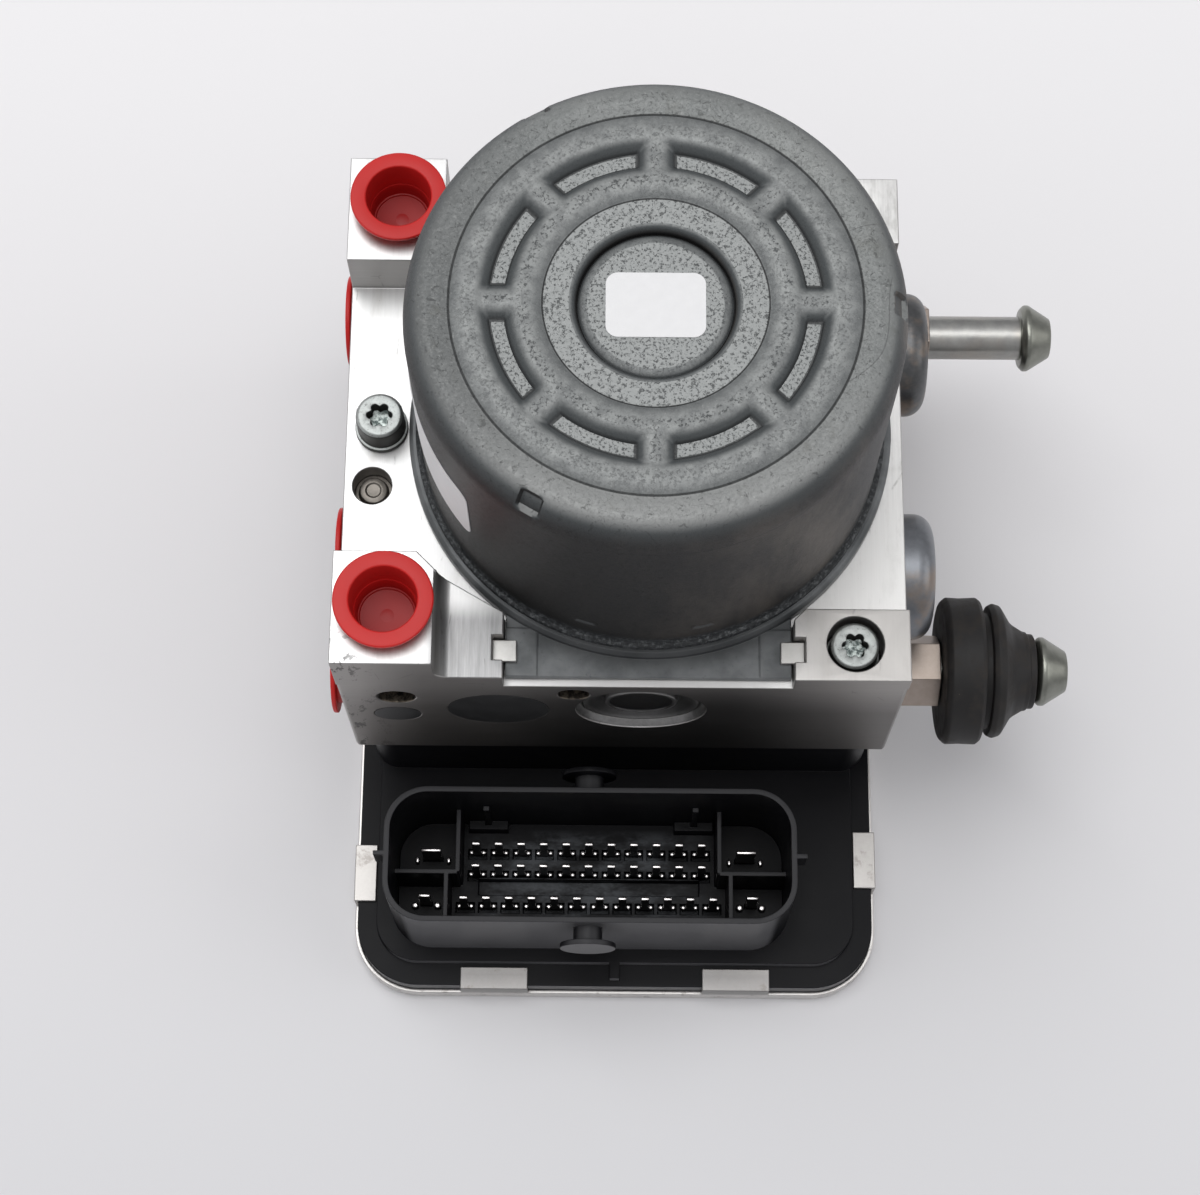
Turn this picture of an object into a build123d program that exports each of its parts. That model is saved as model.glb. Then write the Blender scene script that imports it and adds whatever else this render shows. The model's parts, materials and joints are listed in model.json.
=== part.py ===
from build123d import *
import math
import os

# An anti-lock brake module: an aluminium valve block with its pump motor on top and its
# electronic control unit underneath. Millimetres, +Z up. The origin is on the motor's axis,
# at the outer face of the control unit's cover, and the connector faces up in front (-Y).
# The motor's can sets the motor plate, and the plate sets the block's edges; ports, studs,
# screws and the control unit are placed from those edges.

# ---- clearances ----
FIT = 0.02              # radial clearance of a pressed or seated round piece
RUNNING = 0.05          # radial clearance of a piece that slides or turns
GAP = 0.3               # free space between pieces that only stand side by side

# ---- heights of the stack, from the cover's outer face up ----
COVER_SHEET = 1.5
FLANGE_HEIGHT = 6.5
PLATEAU_STEP = 2.0
COIL_ROOM = 23.0
BLOCK_HEIGHT = 40.45
FLANGE_TOP = COVER_SHEET + FLANGE_HEIGHT
PLATEAU_TOP = FLANGE_TOP + PLATEAU_STEP
BLOCK_BASE = PLATEAU_TOP + COIL_ROOM
MOTOR_SEAT = BLOCK_BASE + BLOCK_HEIGHT

# ---- pump motor: its plate and can ----
CAN_R = 40.8
CAN_WALL = 1.6
CAN_HEIGHT = 54.0
CAN_LIP = 1.1
CAN_LIP_THICK = 1.1
PLATE_LIP = 2.38
PLATE_THICK = 3.0
PLATE_BEVEL = 0.7
PLATE_R = CAN_R + PLATE_LIP
PLATE_TOP = MOTOR_SEAT + PLATE_THICK
CAN_TOP = PLATE_TOP + CAN_HEIGHT

# the can's top, ring by ring from its side inwards: how far in each edge lies
SHOULDER_R = 6.0
BAND_R = CAN_R - 7.6
CREST_R = BAND_R - 3.8
POCKET_OUTER_R = CREST_R - 2.4
POCKET_INNER_R = POCKET_OUTER_R - 2.9
INNER_CREST_R = POCKET_INNER_R - 2.45
RING_R = INNER_CREST_R - 3.42
GROOVE_R = RING_R - 4.13
BUTTON_R = GROOVE_R - 1.46
# how far each ring lies below the can's top
BAND_DROP = 0.8
INNER_CREST_DROP = 0.3
POCKET_DROP = 2.0
RING_DROP = 1.2
GROOVE_DROP = 3.4
BUTTON_DROP = 2.5
CREST_HALF = 0.9
EDGE_SLOPE = 0.3
SPOKES = 8
SPOKE_WIDTH = 5.7
SPOKE_SINK = 0.2
DIMPLE_ANGLES = (0, 120, 240)
DIMPLE_SIZE = 4.0
DIMPLE_DEPTH = 0.9
LANCE_ANGLES = (-106.0, -77.0)
LANCE_WIDTH = 3.8
LANCE_HEIGHT = 2.2
LANCE_DEPTH = 0.35
LANCE_RISE = 6.6

# ---- valve block, set off from the motor's plate ----
LEFT = -(PLATE_R + 11.5)
RIGHT = PLATE_R + 2.14
FRONT = -(PLATE_R + 4.67)
BACK = PLATE_R + 5.37
BLOCK_CHAMFER = 0.6
PORT_BOSS_WIDTH = 17.57
PORT_BOSS_DEPTH = 20.4
PORT_BOSS_CUT = 3.2
FRONT_PORT_RISE = 12.95
BACK_PORT_RISE = 11.65
BOLT_BOSS_RISE = 5.05
BOLT_BOSS_WIDTH = 20.2
BOLT_BOSS_DEPTH = 13.1
BOLT_BOSS_CUT = 2.0
SHELF_WIDTH = 11.7
SHELF_DEPTH = 12.0
SHELF_SLOPE = 7.1
SHELF_ROOT_R = 2.5
SHELF_END = LEFT + PORT_BOSS_WIDTH + SHELF_WIDTH
BOLT_BOSS_START = RIGHT - BOLT_BOSS_WIDTH
BOSS_TOP = MOTOR_SEAT + BOLT_BOSS_RISE

# the plate's tongue lies between the shelf and the bolt boss, held by a clamp at each end
TONGUE_THICK = 1.65
TONGUE_LEFT = SHELF_END + GAP
TONGUE_RIGHT = BOLT_BOSS_START - GAP
TONGUE_FRONT = FRONT + 1.35
TONGUE_PAD_WIDTH = 5.6
TONGUE_PAD_DEPTH = 8.8
TONGUE_PAD_RISE = 0.25
CLAMP_WIDTH = 3.9
CLAMP_THICK = 1.0
CLAMP_REACH = 2.0
CLAMP_NOTCH = 1.9
CLAMP_Y = FRONT + 5.65
CLAMP_BASE = MOTOR_SEAT + TONGUE_THICK + TONGUE_PAD_RISE
CLAMP_NOTCHES = ((SHELF_END - CLAMP_NOTCH, SHELF_END), (BOLT_BOSS_START, BOLT_BOSS_START + CLAMP_NOTCH))

# ---- brake line ports and their transport caps ----
PORT_HOLE_R = 6.85
PORT_DEPTH = 12.5
PORT_SEAT_DEPTH = 1.5
PORT_DRILL_R = 2.5
TOP_PORT_X = LEFT + 9.2
TOP_PORTS = (
    (TOP_PORT_X, FRONT + 10.55, MOTOR_SEAT + FRONT_PORT_RISE),
    (TOP_PORT_X, BACK - 9.35, MOTOR_SEAT + BACK_PORT_RISE),
)
SIDE_PORT_Z = BLOCK_BASE + 18.0
SIDE_PORT_YS = (FRONT + 10.25, FRONT + 31.95, BACK - 17.05)
CAP_FLANGE_R = PORT_HOLE_R + 1.8
CAP_FLANGE_THICK = 0.9
TOP_CAP_STAND = 3.5
SIDE_CAP_STAND = 2.7
CAP_WALL = 1.05
CAP_FLOOR_R = 4.7
CAP_FLOOR = 1.0
CAP_DEPTH = 9.5

# ---- pump: two pistons in line, worked by the motor's eccentric ----
PUMP_X = -1.2
PUMP_Z = MOTOR_SEAT - 14.65
PUMP_PLUG_R = 11.7
PUMP_PLUG_DEPTH = 7.0
PUMP_PLUG_CHAMFER = 1.6
PUMP_PLUG_RIM = 2.3
PUMP_PLUG_CUP_R = 5.9
PUMP_PLUG_CUP_DEPTH = 2.2
PUMP_PLUG_SLOPE = 0.6
SLEEVE_R = 8.0
SLEEVE_LENGTH = 20.0
PISTON_R = 4.0
PISTON_LENGTH = 17.0
PISTON_NOSE = 0.8
PISTON_GAP = 0.1
PISTON_SPRING_WIRE = 0.45
PISTON_SPRING_R = PISTON_R - PISTON_SPRING_WIRE - 0.65
PISTON_SPRING_TURNS = 4
ECCENTRIC_R = 11.0
ECCENTRIC_OFFSET = 1.0
ECCENTRIC_HEIGHT = 12.0
ECCENTRIC_ROOM = 1.6
ECCENTRIC_TOP = PUMP_Z + ECCENTRIC_HEIGHT / 2
ECCENTRIC_BASE = PUMP_Z - ECCENTRIC_HEIGHT / 2
CAVITY_R = ECCENTRIC_R + ECCENTRIC_OFFSET + ECCENTRIC_ROOM
CAVITY_FLOOR_GAP = 1.0
PISTON_START = ECCENTRIC_R + ECCENTRIC_OFFSET + PISTON_GAP
PLUG_INNER = {-1: FRONT + PUMP_PLUG_DEPTH, 1: BACK - PUMP_PLUG_DEPTH}

# ---- pressure accumulators on the right face ----
ACCUMULATOR_YS = (FRONT + 25.65, BACK - 26.75)
ACCUMULATOR_Z = BLOCK_BASE + 26.0
ACCUMULATOR_R = 9.5
ACCUMULATOR_DEPTH = 20.0
ACCUMULATOR_PISTON_LENGTH = 9.0
ACCUMULATOR_WALL = 2.0
ACCUMULATOR_SPRING_WIRE = 0.8
ACCUMULATOR_SPRING_R = ACCUMULATOR_R - ACCUMULATOR_WALL - ACCUMULATOR_SPRING_WIRE - 0.7
ACCUMULATOR_SPRING_TURNS = 3
DOME_R = ACCUMULATOR_R + 2.0
DOME_RISE = 6.2
DOME_EDGE = 3.4
DOME_SHEET = 1.2

# ---- mounting studs on the right face, and the rubber grommet on the front one ----
STUD_YS = (FRONT + 13.25, BACK - 15.05)
STUD_Z = BLOCK_BASE + 8.0
STUD_HEX = 12.0
STUD_HEX_DEPTH = 9.3
STUD_HEX_TURN = 30.0
STUD_THREAD_R = 3.0
STUD_THREAD_DEPTH = 7.0
STUD_SHANK_R = 4.2
STUD_SHANK_END = 27.4
STUD_HEAD_R = 6.45
STUD_HEAD_TIP_R = 3.8
STUD_HEAD_LENGTH = 5.8
STUD_HEAD_LAND = 1.6
STUD_HEAD_BEVEL = 0.8
GROMMET_FLANGE_R = 13.9
GROMMET_FLANGE_LENGTH = 7.3
GROMMET_FLANGE_BEVEL = (1.2, 1.6)
GROMMET_LIP_BEVEL = (0.6, 0.5)
GROMMET_GROOVE_R = 10.9
GROMMET_GROOVE_LENGTH = 1.5
GROMMET_CONE_R = 12.7
GROMMET_CONE_LAND = 2.2
GROMMET_NOSE_R = 7.2
GROMMET_NOSE_LAND = 1.6

# ---- small plugs of the drillings: place in X, place in Z ----
DAMPER_R = 9.05
DAMPER_DEPTH = 9.0
DAMPER_X = PUMP_X - PUMP_PLUG_R - DAMPER_R - 4.85
FLUSH_PLUG = (LEFT + 9.58, MOTOR_SEAT - 18.15)
FLUSH_PLUG_R = 4.2
FLUSH_PLUG_DEPTH = 2.4
CORNER_HOLE = (LEFT + 10.08, MOTOR_SEAT - 7.35)
CORNER_HOLE_R = 3.45
SMALL_HOLE_R = 2.9
SMALL_HOLE_ANGLE = math.radians(141.3)
SMALL_HOLE_REACH = PUMP_PLUG_R + SMALL_HOLE_R + 0.77
SMALL_HOLE = (PUMP_X + SMALL_HOLE_REACH * math.cos(SMALL_HOLE_ANGLE),
              PUMP_Z + SMALL_HOLE_REACH * math.sin(SMALL_HOLE_ANGLE))
BALL_SINK = 1.2
BALL_HOLES = ((CORNER_HOLE, CORNER_HOLE_R), (SMALL_HOLE, SMALL_HOLE_R))
TOP_HOLE = (LEFT + 5.08, -10.65)
TOP_HOLE_R = 3.5
TOP_HOLE_DEPTH = 5.5
TOP_PLUG_R = 2.5
TOP_PLUG_HEIGHT = 3.2

# ---- housing screws, through the block into the control unit ----
SCREW_R = 2.5
SCREW_HEAD_R = 4.28
SCREW_HEAD_HEIGHT = 5.2
SCREW_HEAD_CHAMFER = 0.5
SCREW_WASHER_R = SCREW_HEAD_R + 0.47
SCREW_WASHER_THICK = 1.3
SCREW_SOCKET_R = 2.3
SCREW_SOCKET_DEPTH = 2.8
SCREW_SOCKET_CORE = 0.76    # core and lobes of the six-lobed socket, as shares of its radius
SCREW_SOCKET_LOBE = 0.3
SCREW_GRIP = 14.0
SCREW_CLEARANCE = 0.25
SCREW_END_ROOM = 1.0
COUNTERBORE_R = SCREW_WASHER_R + SCREW_CLEARANCE
SUNK_SEAT = BOSS_TOP - 7.5
SCREW_TIP = BLOCK_BASE - SCREW_GRIP
LEFT_SCREW = (-(PLATE_R + SCREW_WASHER_R + 0.27), 0.3)
FRONT_SCREW = (RIGHT - 9.62, FRONT + 6.75)
BACK_SCREW = (RIGHT - 9.62, BACK - 6.75)
SCREWS = ((LEFT_SCREW, MOTOR_SEAT), (FRONT_SCREW, SUNK_SEAT), (BACK_SCREW, SUNK_SEAT))

# ---- inside the motor ----
SHAFT_R = 4.0
JOURNAL_R = 3.0
SHAFT_END_GAP = 1.0
BUSH_R = 8.0
BUSH_LENGTH = 8.0
BUSH_CUP_WALL = 1.6
CUP_TOP = CAN_TOP - GROOVE_DROP - CAN_WALL
MAGNET_COUNT = 4
MAGNET_THICK = 6.4
MAGNET_SPAN = 68.0
MAGNET_OVERHANG = 3.0
AIR_GAP = 1.0
MAGNET_R = CAN_R - CAN_WALL - FIT
MAGNET_INNER_R = MAGNET_R - MAGNET_THICK
ARMATURE_R = MAGNET_INNER_R - AIR_GAP
CORE_START = PLATE_TOP + 14.0
CORE_END = CAN_TOP - 16.0
CORE_SLOTS = 10
CORE_SLOT_WIDTH = 4.2
CORE_MOUTH_WIDTH = 1.8
CORE_HUB_R = 14.0
CORE_TOOTH_TIP = 3.0
COIL_END_HEIGHT = 5.0
COIL_MARGIN = 0.15
HOLDER_RING_R = CAN_R - CAN_WALL - 0.9
HOLDER_THICK = 2.0
BRUSH_BASE = PLATE_TOP + HOLDER_THICK
COMMUTATOR_R = 11.0
COMMUTATOR_LENGTH = 7.4
COMMUTATOR_BASE = BRUSH_BASE - 0.8
COMMUTATOR_BARS = 10
COMMUTATOR_SAW = (0.5, 0.8)
BRUSH_WIDTH = 6.0
BRUSH_HEIGHT = 5.0
BRUSH_LENGTH = 12.0
BRUSH_GAP = 0.1
BRUSH_WALL = 1.2
BRUSH_START = COMMUTATOR_R + BRUSH_GAP
BRUSH_BOX_START = COMMUTATOR_R + AIR_GAP + 0.5
BRUSH_BOX_END = HOLDER_RING_R - 1.0
BRUSH_SPRING_WIRE = 0.4
BRUSH_SPRING_R = BRUSH_HEIGHT / 2 - BRUSH_SPRING_WIRE - 0.2
BRUSH_SPRING_TURNS = 4
BEARING_R = 11.0
BEARING_WIDTH = 7.0
BEARING_RACE = 2.0
BEARING_BALLS = 9
BEARING_TOP = MOTOR_SEAT
BEARING_BASE = BEARING_TOP - BEARING_WIDTH
BEARING_MID = (BEARING_TOP + BEARING_BASE) / 2
BALL_TRACK_R = (SHAFT_R + BEARING_R) / 2
BALL_R = (BEARING_R - SHAFT_R) / 4

# ---- stickers ----
STICKER_THICK = 0.15
STICKER_CORNER = 2.0
TOP_STICKER_WIDTH = 1.273 * BUTTON_R
TOP_STICKER_DEPTH = 0.891 * BUTTON_R
SIDE_STICKER_HEIGHT = 17.7
SIDE_STICKER_DROP = 18.8
SIDE_STICKER_START = 183.0
SIDE_STICKER_SPAN = 38.7

# ---- control unit housing ----
FLANGE_LEFT = LEFT - 0.87
FLANGE_RIGHT = RIGHT - 0.67
FLANGE_FRONT = FRONT - 41.15
FLANGE_BACK = BACK - 0.35
FLANGE_MID_X = (FLANGE_LEFT + FLANGE_RIGHT) / 2
FLANGE_CORNER = 12.0
FLANGE_WALL = 3.0
DECK_THICK = 3.5
DECK_BASE = PLATEAU_TOP - DECK_THICK
TOWER_INSET = 1.7
TOWER_WALL = 4.0
TOWER_CORNER = 5.0
TOWER_INNER_CORNER = 3.0
TOWER_LEFT = LEFT + TOWER_INSET
TOWER_RIGHT = RIGHT - TOWER_INSET
TOWER_FRONT = FRONT + TOWER_INSET
TOWER_BACK = BACK - TOWER_INSET
SEAL_WIDTH = 1.4
SEAL_INSET = 0.6
SEAL_DEPTH = 1.5
SCREW_BOSS_R = SCREW_R + 2.1
BOARD_THICK = 1.6
BOARD_GAP = 0.5
BOARD_TOP = DECK_BASE - BOARD_GAP
BOARD_BASE = BOARD_TOP - BOARD_THICK
BOARD_POST_R = 2.0
BOARD_POST_INSET = FLANGE_WALL + 5.0
CHIPS = ((-24.0, -20.0, 14.0), (6.0, -24.0, 12.0))
CHIP_SHARE = 0.6            # chip and driver heights, as shares of the room under the board
DRIVER_SHARE = 0.7
DRIVER_SIZE = (8.0, 10.0)
DRIVER_XS = (-30.0, -12.0, 6.0)
DRIVER_Y = 11.0

# ---- connector ----
SHROUD_WIDTH = 76.9
SHROUD_DEPTH = 25.6
SHROUD_HEIGHT = 26.0
SHROUD_WALL = 1.1
SHROUD_CORNER = 8.0
SHROUD_MID_X = FLANGE_MID_X - 4.75
SHROUD_LEFT = SHROUD_MID_X - SHROUD_WIDTH / 2
SHROUD_RIGHT = SHROUD_MID_X + SHROUD_WIDTH / 2
SHROUD_BACK = FRONT - 8.55
SHROUD_FRONT = SHROUD_BACK - SHROUD_DEPTH
SHROUD_MID_Y = (SHROUD_BACK + SHROUD_FRONT) / 2
SHROUD_TOP = PLATEAU_TOP + SHROUD_HEIGHT

CONTACT_MID_X = SHROUD_MID_X - 0.37
PIN_PITCH = 4.36
PIN_ROWS = ((11, SHROUD_MID_Y + 6.0), (11, SHROUD_MID_Y + 1.7), (12, SHROUD_MID_Y - 4.6))
PIN_WIDTH = 1.5
PIN_THICK = 0.8
PIN_HEIGHT = 8.0
PIN_POCKET = (3.6, 2.0, 1.3)
PIN_POCKET_SHIFT = 0.35
BLADE_THICK = 0.8

DIVIDER_HEIGHT = 12.0
DIVIDER_WALL = 0.9
DIVIDER_X = 5 * PIN_PITCH + PIN_WIDTH / 2 + 2.45
DIVIDER_Y = SHROUD_MID_Y - 0.4
SIDE_DIVIDER_X = 5.5 * PIN_PITCH + PIN_WIDTH / 2 + 2.4
BACK_BLADE = (DIVIDER_X + 5.4, SHROUD_MID_Y + 4.6, 3.7)
FRONT_BLADE = (SIDE_DIVIDER_X + 4.35, SHROUD_MID_Y - 4.3, 2.2)
BLADES = (BACK_BLADE, FRONT_BLADE)
KEY_X = 20.0
KEY_WIDTH = 1.2
KEY_DEPTH = 1.5
KEY_HEIGHT = 15.0
KEY_FOOT = (7.6, 2.4, 3.0)
SLOT_Y = (SHROUD_MID_Y - 2.4, SHROUD_MID_Y + 0.6)
SLOT_HALF = 21.5
SLOT_DEPTH = 2.0
SLOT_LIP = 0.45
PEG_X = SHROUD_MID_X - 0.3
PEG_R = 2.7
PEG_LENGTH = 4.0
PEG_HEAD_R = 5.2
PEG_HEAD_THICK = 1.0
PEG_DROP = 4.9
SIDE_RIB = (1.9, 0.9, 6.0)

# ---- the cover's crimped tabs, and the rib between the front ones ----
COVER_SKIRT = 2.6
COVER_CHAMFER = 0.5
FRONT_TAB_WIDTH = 13.0
SIDE_TAB_WIDTH = 11.2
TAB_REACH = 3.5
TAB_SHEET = 0.8
TAB_ROOT = 1.0
PLATEAU_INSET = TAB_REACH + GAP
PLATEAU_FRONT_INSET = PLATEAU_INSET + 0.5
FRONT_TAB_XS = (FLANGE_MID_X - 23.25, FLANGE_MID_X + 23.45)
LEFT_TAB_YS = (FLANGE_FRONT + 21.8, FLANGE_BACK - 24.2)
RIGHT_TAB_YS = (FLANGE_FRONT + 25.2, FLANGE_BACK - 24.2)
FRONT_RIB_WIDTH = 1.9
FRONT_RIB_INSET = 1.2

# ---- valves and their coils, between the block and the control unit ----
VALVE_BODY_R = 5.5
VALVE_SEAT_R = 3.6
VALVE_SEAT_LENGTH = 5.0
VALVE_SEAT_BEVEL = 1.0
VALVE_DEPTH = 12.5
VALVE_DOME_R = 3.3
VALVE_DOME_BEVEL = 1.0
VALVE_DOME_LENGTH = 18.0
VALVE_ROWS = 4
COIL_R = 8.6
COIL_HEIGHT = 20.0
COIL_SHEET = 1.2
COIL_BORE_GAP = 0.3
BOBBIN_FLANGE = 2.0
BOBBIN_WAIST = 1.0
VALVE_XS = (FLANGE_MID_X - 20.55, FLANGE_MID_X + 1.45, FLANGE_MID_X + 23.45)
FIRST_VALVE_Y = TOWER_FRONT + TOWER_WALL + COIL_R + 3.55
LAST_VALVE_Y = TOWER_BACK - TOWER_WALL - COIL_R - 3.55
SENSOR = (RIGHT - 11.32, 0.0)
SENSOR_R = 5.0
SENSOR_NECK = 1.0
SENSOR_LENGTH = 15.0

OVERLAP = 0.5           # how far two joined shapes of one solid reach into each other
CENTRED_UP = (Align.CENTER, Align.CENTER, Align.MIN)


# ---- small helpers ----

def box(x0, x1, y0, y1, z0, z1):
    """A block between two corners, given in any order."""
    size = Box(abs(x1 - x0), abs(y1 - y0), abs(z1 - z0))
    return Pos((x0 + x1) / 2, (y0 + y1) / 2, (z0 + z1) / 2) * size


def centred_box(x, y, width, depth, z0, z1):
    """An upright block round a point."""
    return box(x - width / 2, x + width / 2, y - depth / 2, y + depth / 2, z0, z1)


def upright(radius, z0, z1, x=0.0, y=0.0):
    """A cylinder along Z."""
    return Pos(x, y, z0) * Cylinder(radius, z1 - z0, align=CENTRED_UP)


def along_y(radius, y0, y1, x, z):
    """A cylinder along Y between two ends, given in any order."""
    return Pos(x, min(y0, y1), z) * Rot(X=-90) * Cylinder(radius, abs(y1 - y0), align=CENTRED_UP)


def along_x(radius, x0, x1, y, z):
    """A cylinder along X."""
    return Pos(x0, y, z) * Rot(Y=90) * Cylinder(radius, x1 - x0, align=CENTRED_UP)


def top_rims(solid):
    """The highest round edges of a solid."""
    return solid.edges().filter_by(GeomType.CIRCLE).group_by(Axis.Z)[-1]


def turned(points):
    """A solid of revolution about Z from (radius, height) points."""
    return revolve(Plane.XZ * make_face(Polyline(*points, close=True)), Axis.Z)


def turned_on_x(points, x, y, z):
    """A solid of revolution about X from (radius, distance) points."""
    return Pos(x, y, z) * Rot(Y=90) * turned(points)


def turned_on_y(points, x, y, z, outward):
    """A solid of revolution about Y from (radius, distance) points, towards +Y or -Y."""
    return Pos(x, y, z) * Rot(X=-90 * outward) * turned(points)


def plate(x0, x1, y0, y1, z0, z1, corner):
    """A plate with rounded upright corners."""
    outline = RectangleRounded(x1 - x0, y1 - y0, corner)
    return Pos((x0 + x1) / 2, (y0 + y1) / 2, z0) * extrude(outline, z1 - z0)


def wedge(span, reach, z0, z1):
    """An upright wedge from the axis towards +X, as wide as the span in degrees."""
    side = reach * math.tan(math.radians(span / 2))
    return prism([(0, 0), (reach, -side), (reach, side)], z0, z1)


def prism(points, z0, z1):
    """An upright prism over a polygon."""
    return Pos(0, 0, z0) * extrude(make_face(Polyline(*points, close=True)), z1 - z0)


def coil_spring(radius, wire, turns, length):
    """A round wire helix that stands on z = 0."""
    rise = length - 2 * wire
    path = Helix(rise / turns, rise, radius)
    section = Plane(origin=path @ 0, z_dir=path % 0) * Circle(wire)
    return Pos(0, 0, wire) * sweep(section, path)


def pin_places():
    """The foot of each signal pin, row by row from the left."""
    places = []
    for count, y in PIN_ROWS:
        start = CONTACT_MID_X - PIN_PITCH * (count - 1) / 2
        for index in range(count):
            places.append((start + index * PIN_PITCH, y))
    return places


def blade_places():
    """The foot and the width of each power blade, mirrored about the connector's middle."""
    places = []
    for offset, y, width in BLADES:
        for side in (-1, 1):
            places.append((CONTACT_MID_X + side * offset, y, width))
    return places


def valve_places():
    """The middle of each valve, column by column."""
    pitch = (LAST_VALVE_Y - FIRST_VALVE_Y) / (VALVE_ROWS - 1)
    return [(x, FIRST_VALVE_Y + row * pitch) for x in VALVE_XS for row in range(VALVE_ROWS)]


# ---- valve block ----

def port_boss(y0, y1, chamfer_y, top):
    """A raised corner on the left, with its inner corner cut off."""
    x1 = LEFT + PORT_BOSS_WIDTH
    inward = math.copysign(PORT_BOSS_CUT, chamfer_y - (y0 + y1) / 2)
    far_y = y0 + y1 - chamfer_y
    points = [(LEFT, far_y), (x1, far_y), (x1, chamfer_y - inward)]
    points += [(x1 - PORT_BOSS_CUT, chamfer_y), (LEFT, chamfer_y)]
    return prism(points, MOTOR_SEAT, top)


def bolt_boss(edge_y, inward):
    """A raised corner on the right that carries a housing screw."""
    x0 = BOLT_BOSS_START
    inner_y = edge_y + inward * BOLT_BOSS_DEPTH
    points = [(x0, edge_y), (RIGHT, edge_y), (RIGHT, inner_y), (x0 + BOLT_BOSS_CUT, inner_y)]
    points += [(x0, inner_y - inward * BOLT_BOSS_CUT)]
    return prism(points, MOTOR_SEAT, BOSS_TOP)


def shelf():
    """The step beside the front port boss: a slanted back edge, and a hollow root at the boss."""
    wall = LEFT + PORT_BOSS_WIDTH
    start = wall - OVERLAP
    back = FRONT + SHELF_DEPTH
    root_top = BOSS_TOP + SHELF_ROOT_R
    points = [(start, FRONT), (SHELF_END, FRONT), (SHELF_END, back), (start, back + SHELF_SLOPE)]
    root = prism(points, BOSS_TOP, root_top)
    root &= box(start, wall + SHELF_ROOT_R, FRONT, back + SHELF_SLOPE, BOSS_TOP, root_top)
    root -= along_y(SHELF_ROOT_R, FRONT, back + SHELF_SLOPE, wall + SHELF_ROOT_R, root_top)
    return prism(points, MOTOR_SEAT, BOSS_TOP) + root


def port_bore():
    """A line port: bore, cone seat and a short length of its drilling, downwards from z = 0."""
    seat = PORT_DEPTH + PORT_SEAT_DEPTH
    end = seat + 2 * PORT_DRILL_R
    return turned([(0, 0), (PORT_HOLE_R, 0), (PORT_HOLE_R, -PORT_DEPTH), (PORT_DRILL_R, -seat),
                   (PORT_DRILL_R, -end), (0, -end)])


def valve_block():
    """The machined block with its bosses, ports and bores."""
    block = box(LEFT, RIGHT, FRONT, BACK, BLOCK_BASE, MOTOR_SEAT)
    block = chamfer(block.edges().filter_by(Axis.Z), BLOCK_CHAMFER)
    front_boss_back = FRONT + PORT_BOSS_DEPTH
    back_boss_front = BACK - PORT_BOSS_DEPTH
    block += port_boss(FRONT, front_boss_back, front_boss_back, MOTOR_SEAT + FRONT_PORT_RISE)
    block += port_boss(back_boss_front, BACK, back_boss_front, MOTOR_SEAT + BACK_PORT_RISE)
    block += bolt_boss(FRONT, 1)
    block += bolt_boss(BACK, -1)
    block += shelf()
    block -= upright(PLATE_R + GAP, MOTOR_SEAT, MOTOR_SEAT + FRONT_PORT_RISE)

    for x, y, top in TOP_PORTS:
        block -= Pos(x, y, top) * port_bore()
    for y in SIDE_PORT_YS:
        block -= Pos(LEFT, y, SIDE_PORT_Z) * Rot(Y=-90) * port_bore()

    block -= upright(BEARING_R + FIT, BEARING_BASE, MOTOR_SEAT)
    block -= upright(BEARING_R - BEARING_RACE, ECCENTRIC_TOP, BEARING_BASE)
    block -= upright(CAVITY_R, ECCENTRIC_BASE - CAVITY_FLOOR_GAP, BEARING_BASE - CAVITY_FLOOR_GAP)
    for face, side in ((FRONT, -1), (BACK, 1)):
        block -= along_y(SLEEVE_R + FIT, face, side * SHAFT_R, PUMP_X, PUMP_Z)
        block -= along_y(PUMP_PLUG_R + FIT, face, PLUG_INNER[side], PUMP_X, PUMP_Z)

    for y in ACCUMULATOR_YS:
        block -= along_x(ACCUMULATOR_R, RIGHT - ACCUMULATOR_DEPTH, RIGHT, y, ACCUMULATOR_Z)
    for y in STUD_YS:
        block -= along_x(STUD_THREAD_R + FIT, RIGHT - STUD_THREAD_DEPTH, RIGHT, y, STUD_Z)

    block -= along_y(DAMPER_R + FIT, FRONT, FRONT + DAMPER_DEPTH, DAMPER_X, PUMP_Z)
    block -= along_y(FLUSH_PLUG_R + FIT, FRONT, FRONT + FLUSH_PLUG_DEPTH, *FLUSH_PLUG)
    for (x, z), radius in BALL_HOLES:
        block -= along_y(radius + FIT, FRONT, FRONT + BALL_SINK + 2 * radius, x, z)
    block -= upright(TOP_HOLE_R, MOTOR_SEAT - TOP_HOLE_DEPTH, MOTOR_SEAT, *TOP_HOLE)

    for (x, y), seat in SCREWS:
        block -= upright(SCREW_R + SCREW_CLEARANCE, BLOCK_BASE, seat, x, y)
    for x, y in (FRONT_SCREW, BACK_SCREW):
        block -= upright(COUNTERBORE_R, SUNK_SEAT, BOSS_TOP, x, y)

    for x, y in valve_places():
        block -= upright(VALVE_BODY_R + FIT, BLOCK_BASE, BLOCK_BASE + VALVE_DEPTH, x, y)
    block -= upright(SENSOR_R + FIT, BLOCK_BASE, BLOCK_BASE + VALVE_DEPTH, *SENSOR)

    for x0, x1 in CLAMP_NOTCHES:
        block -= box(x0, x1, CLAMP_Y - CLAMP_WIDTH / 2 - GAP, CLAMP_Y + CLAMP_WIDTH / 2 + GAP,
                     CLAMP_BASE, BOSS_TOP)
    return block


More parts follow.
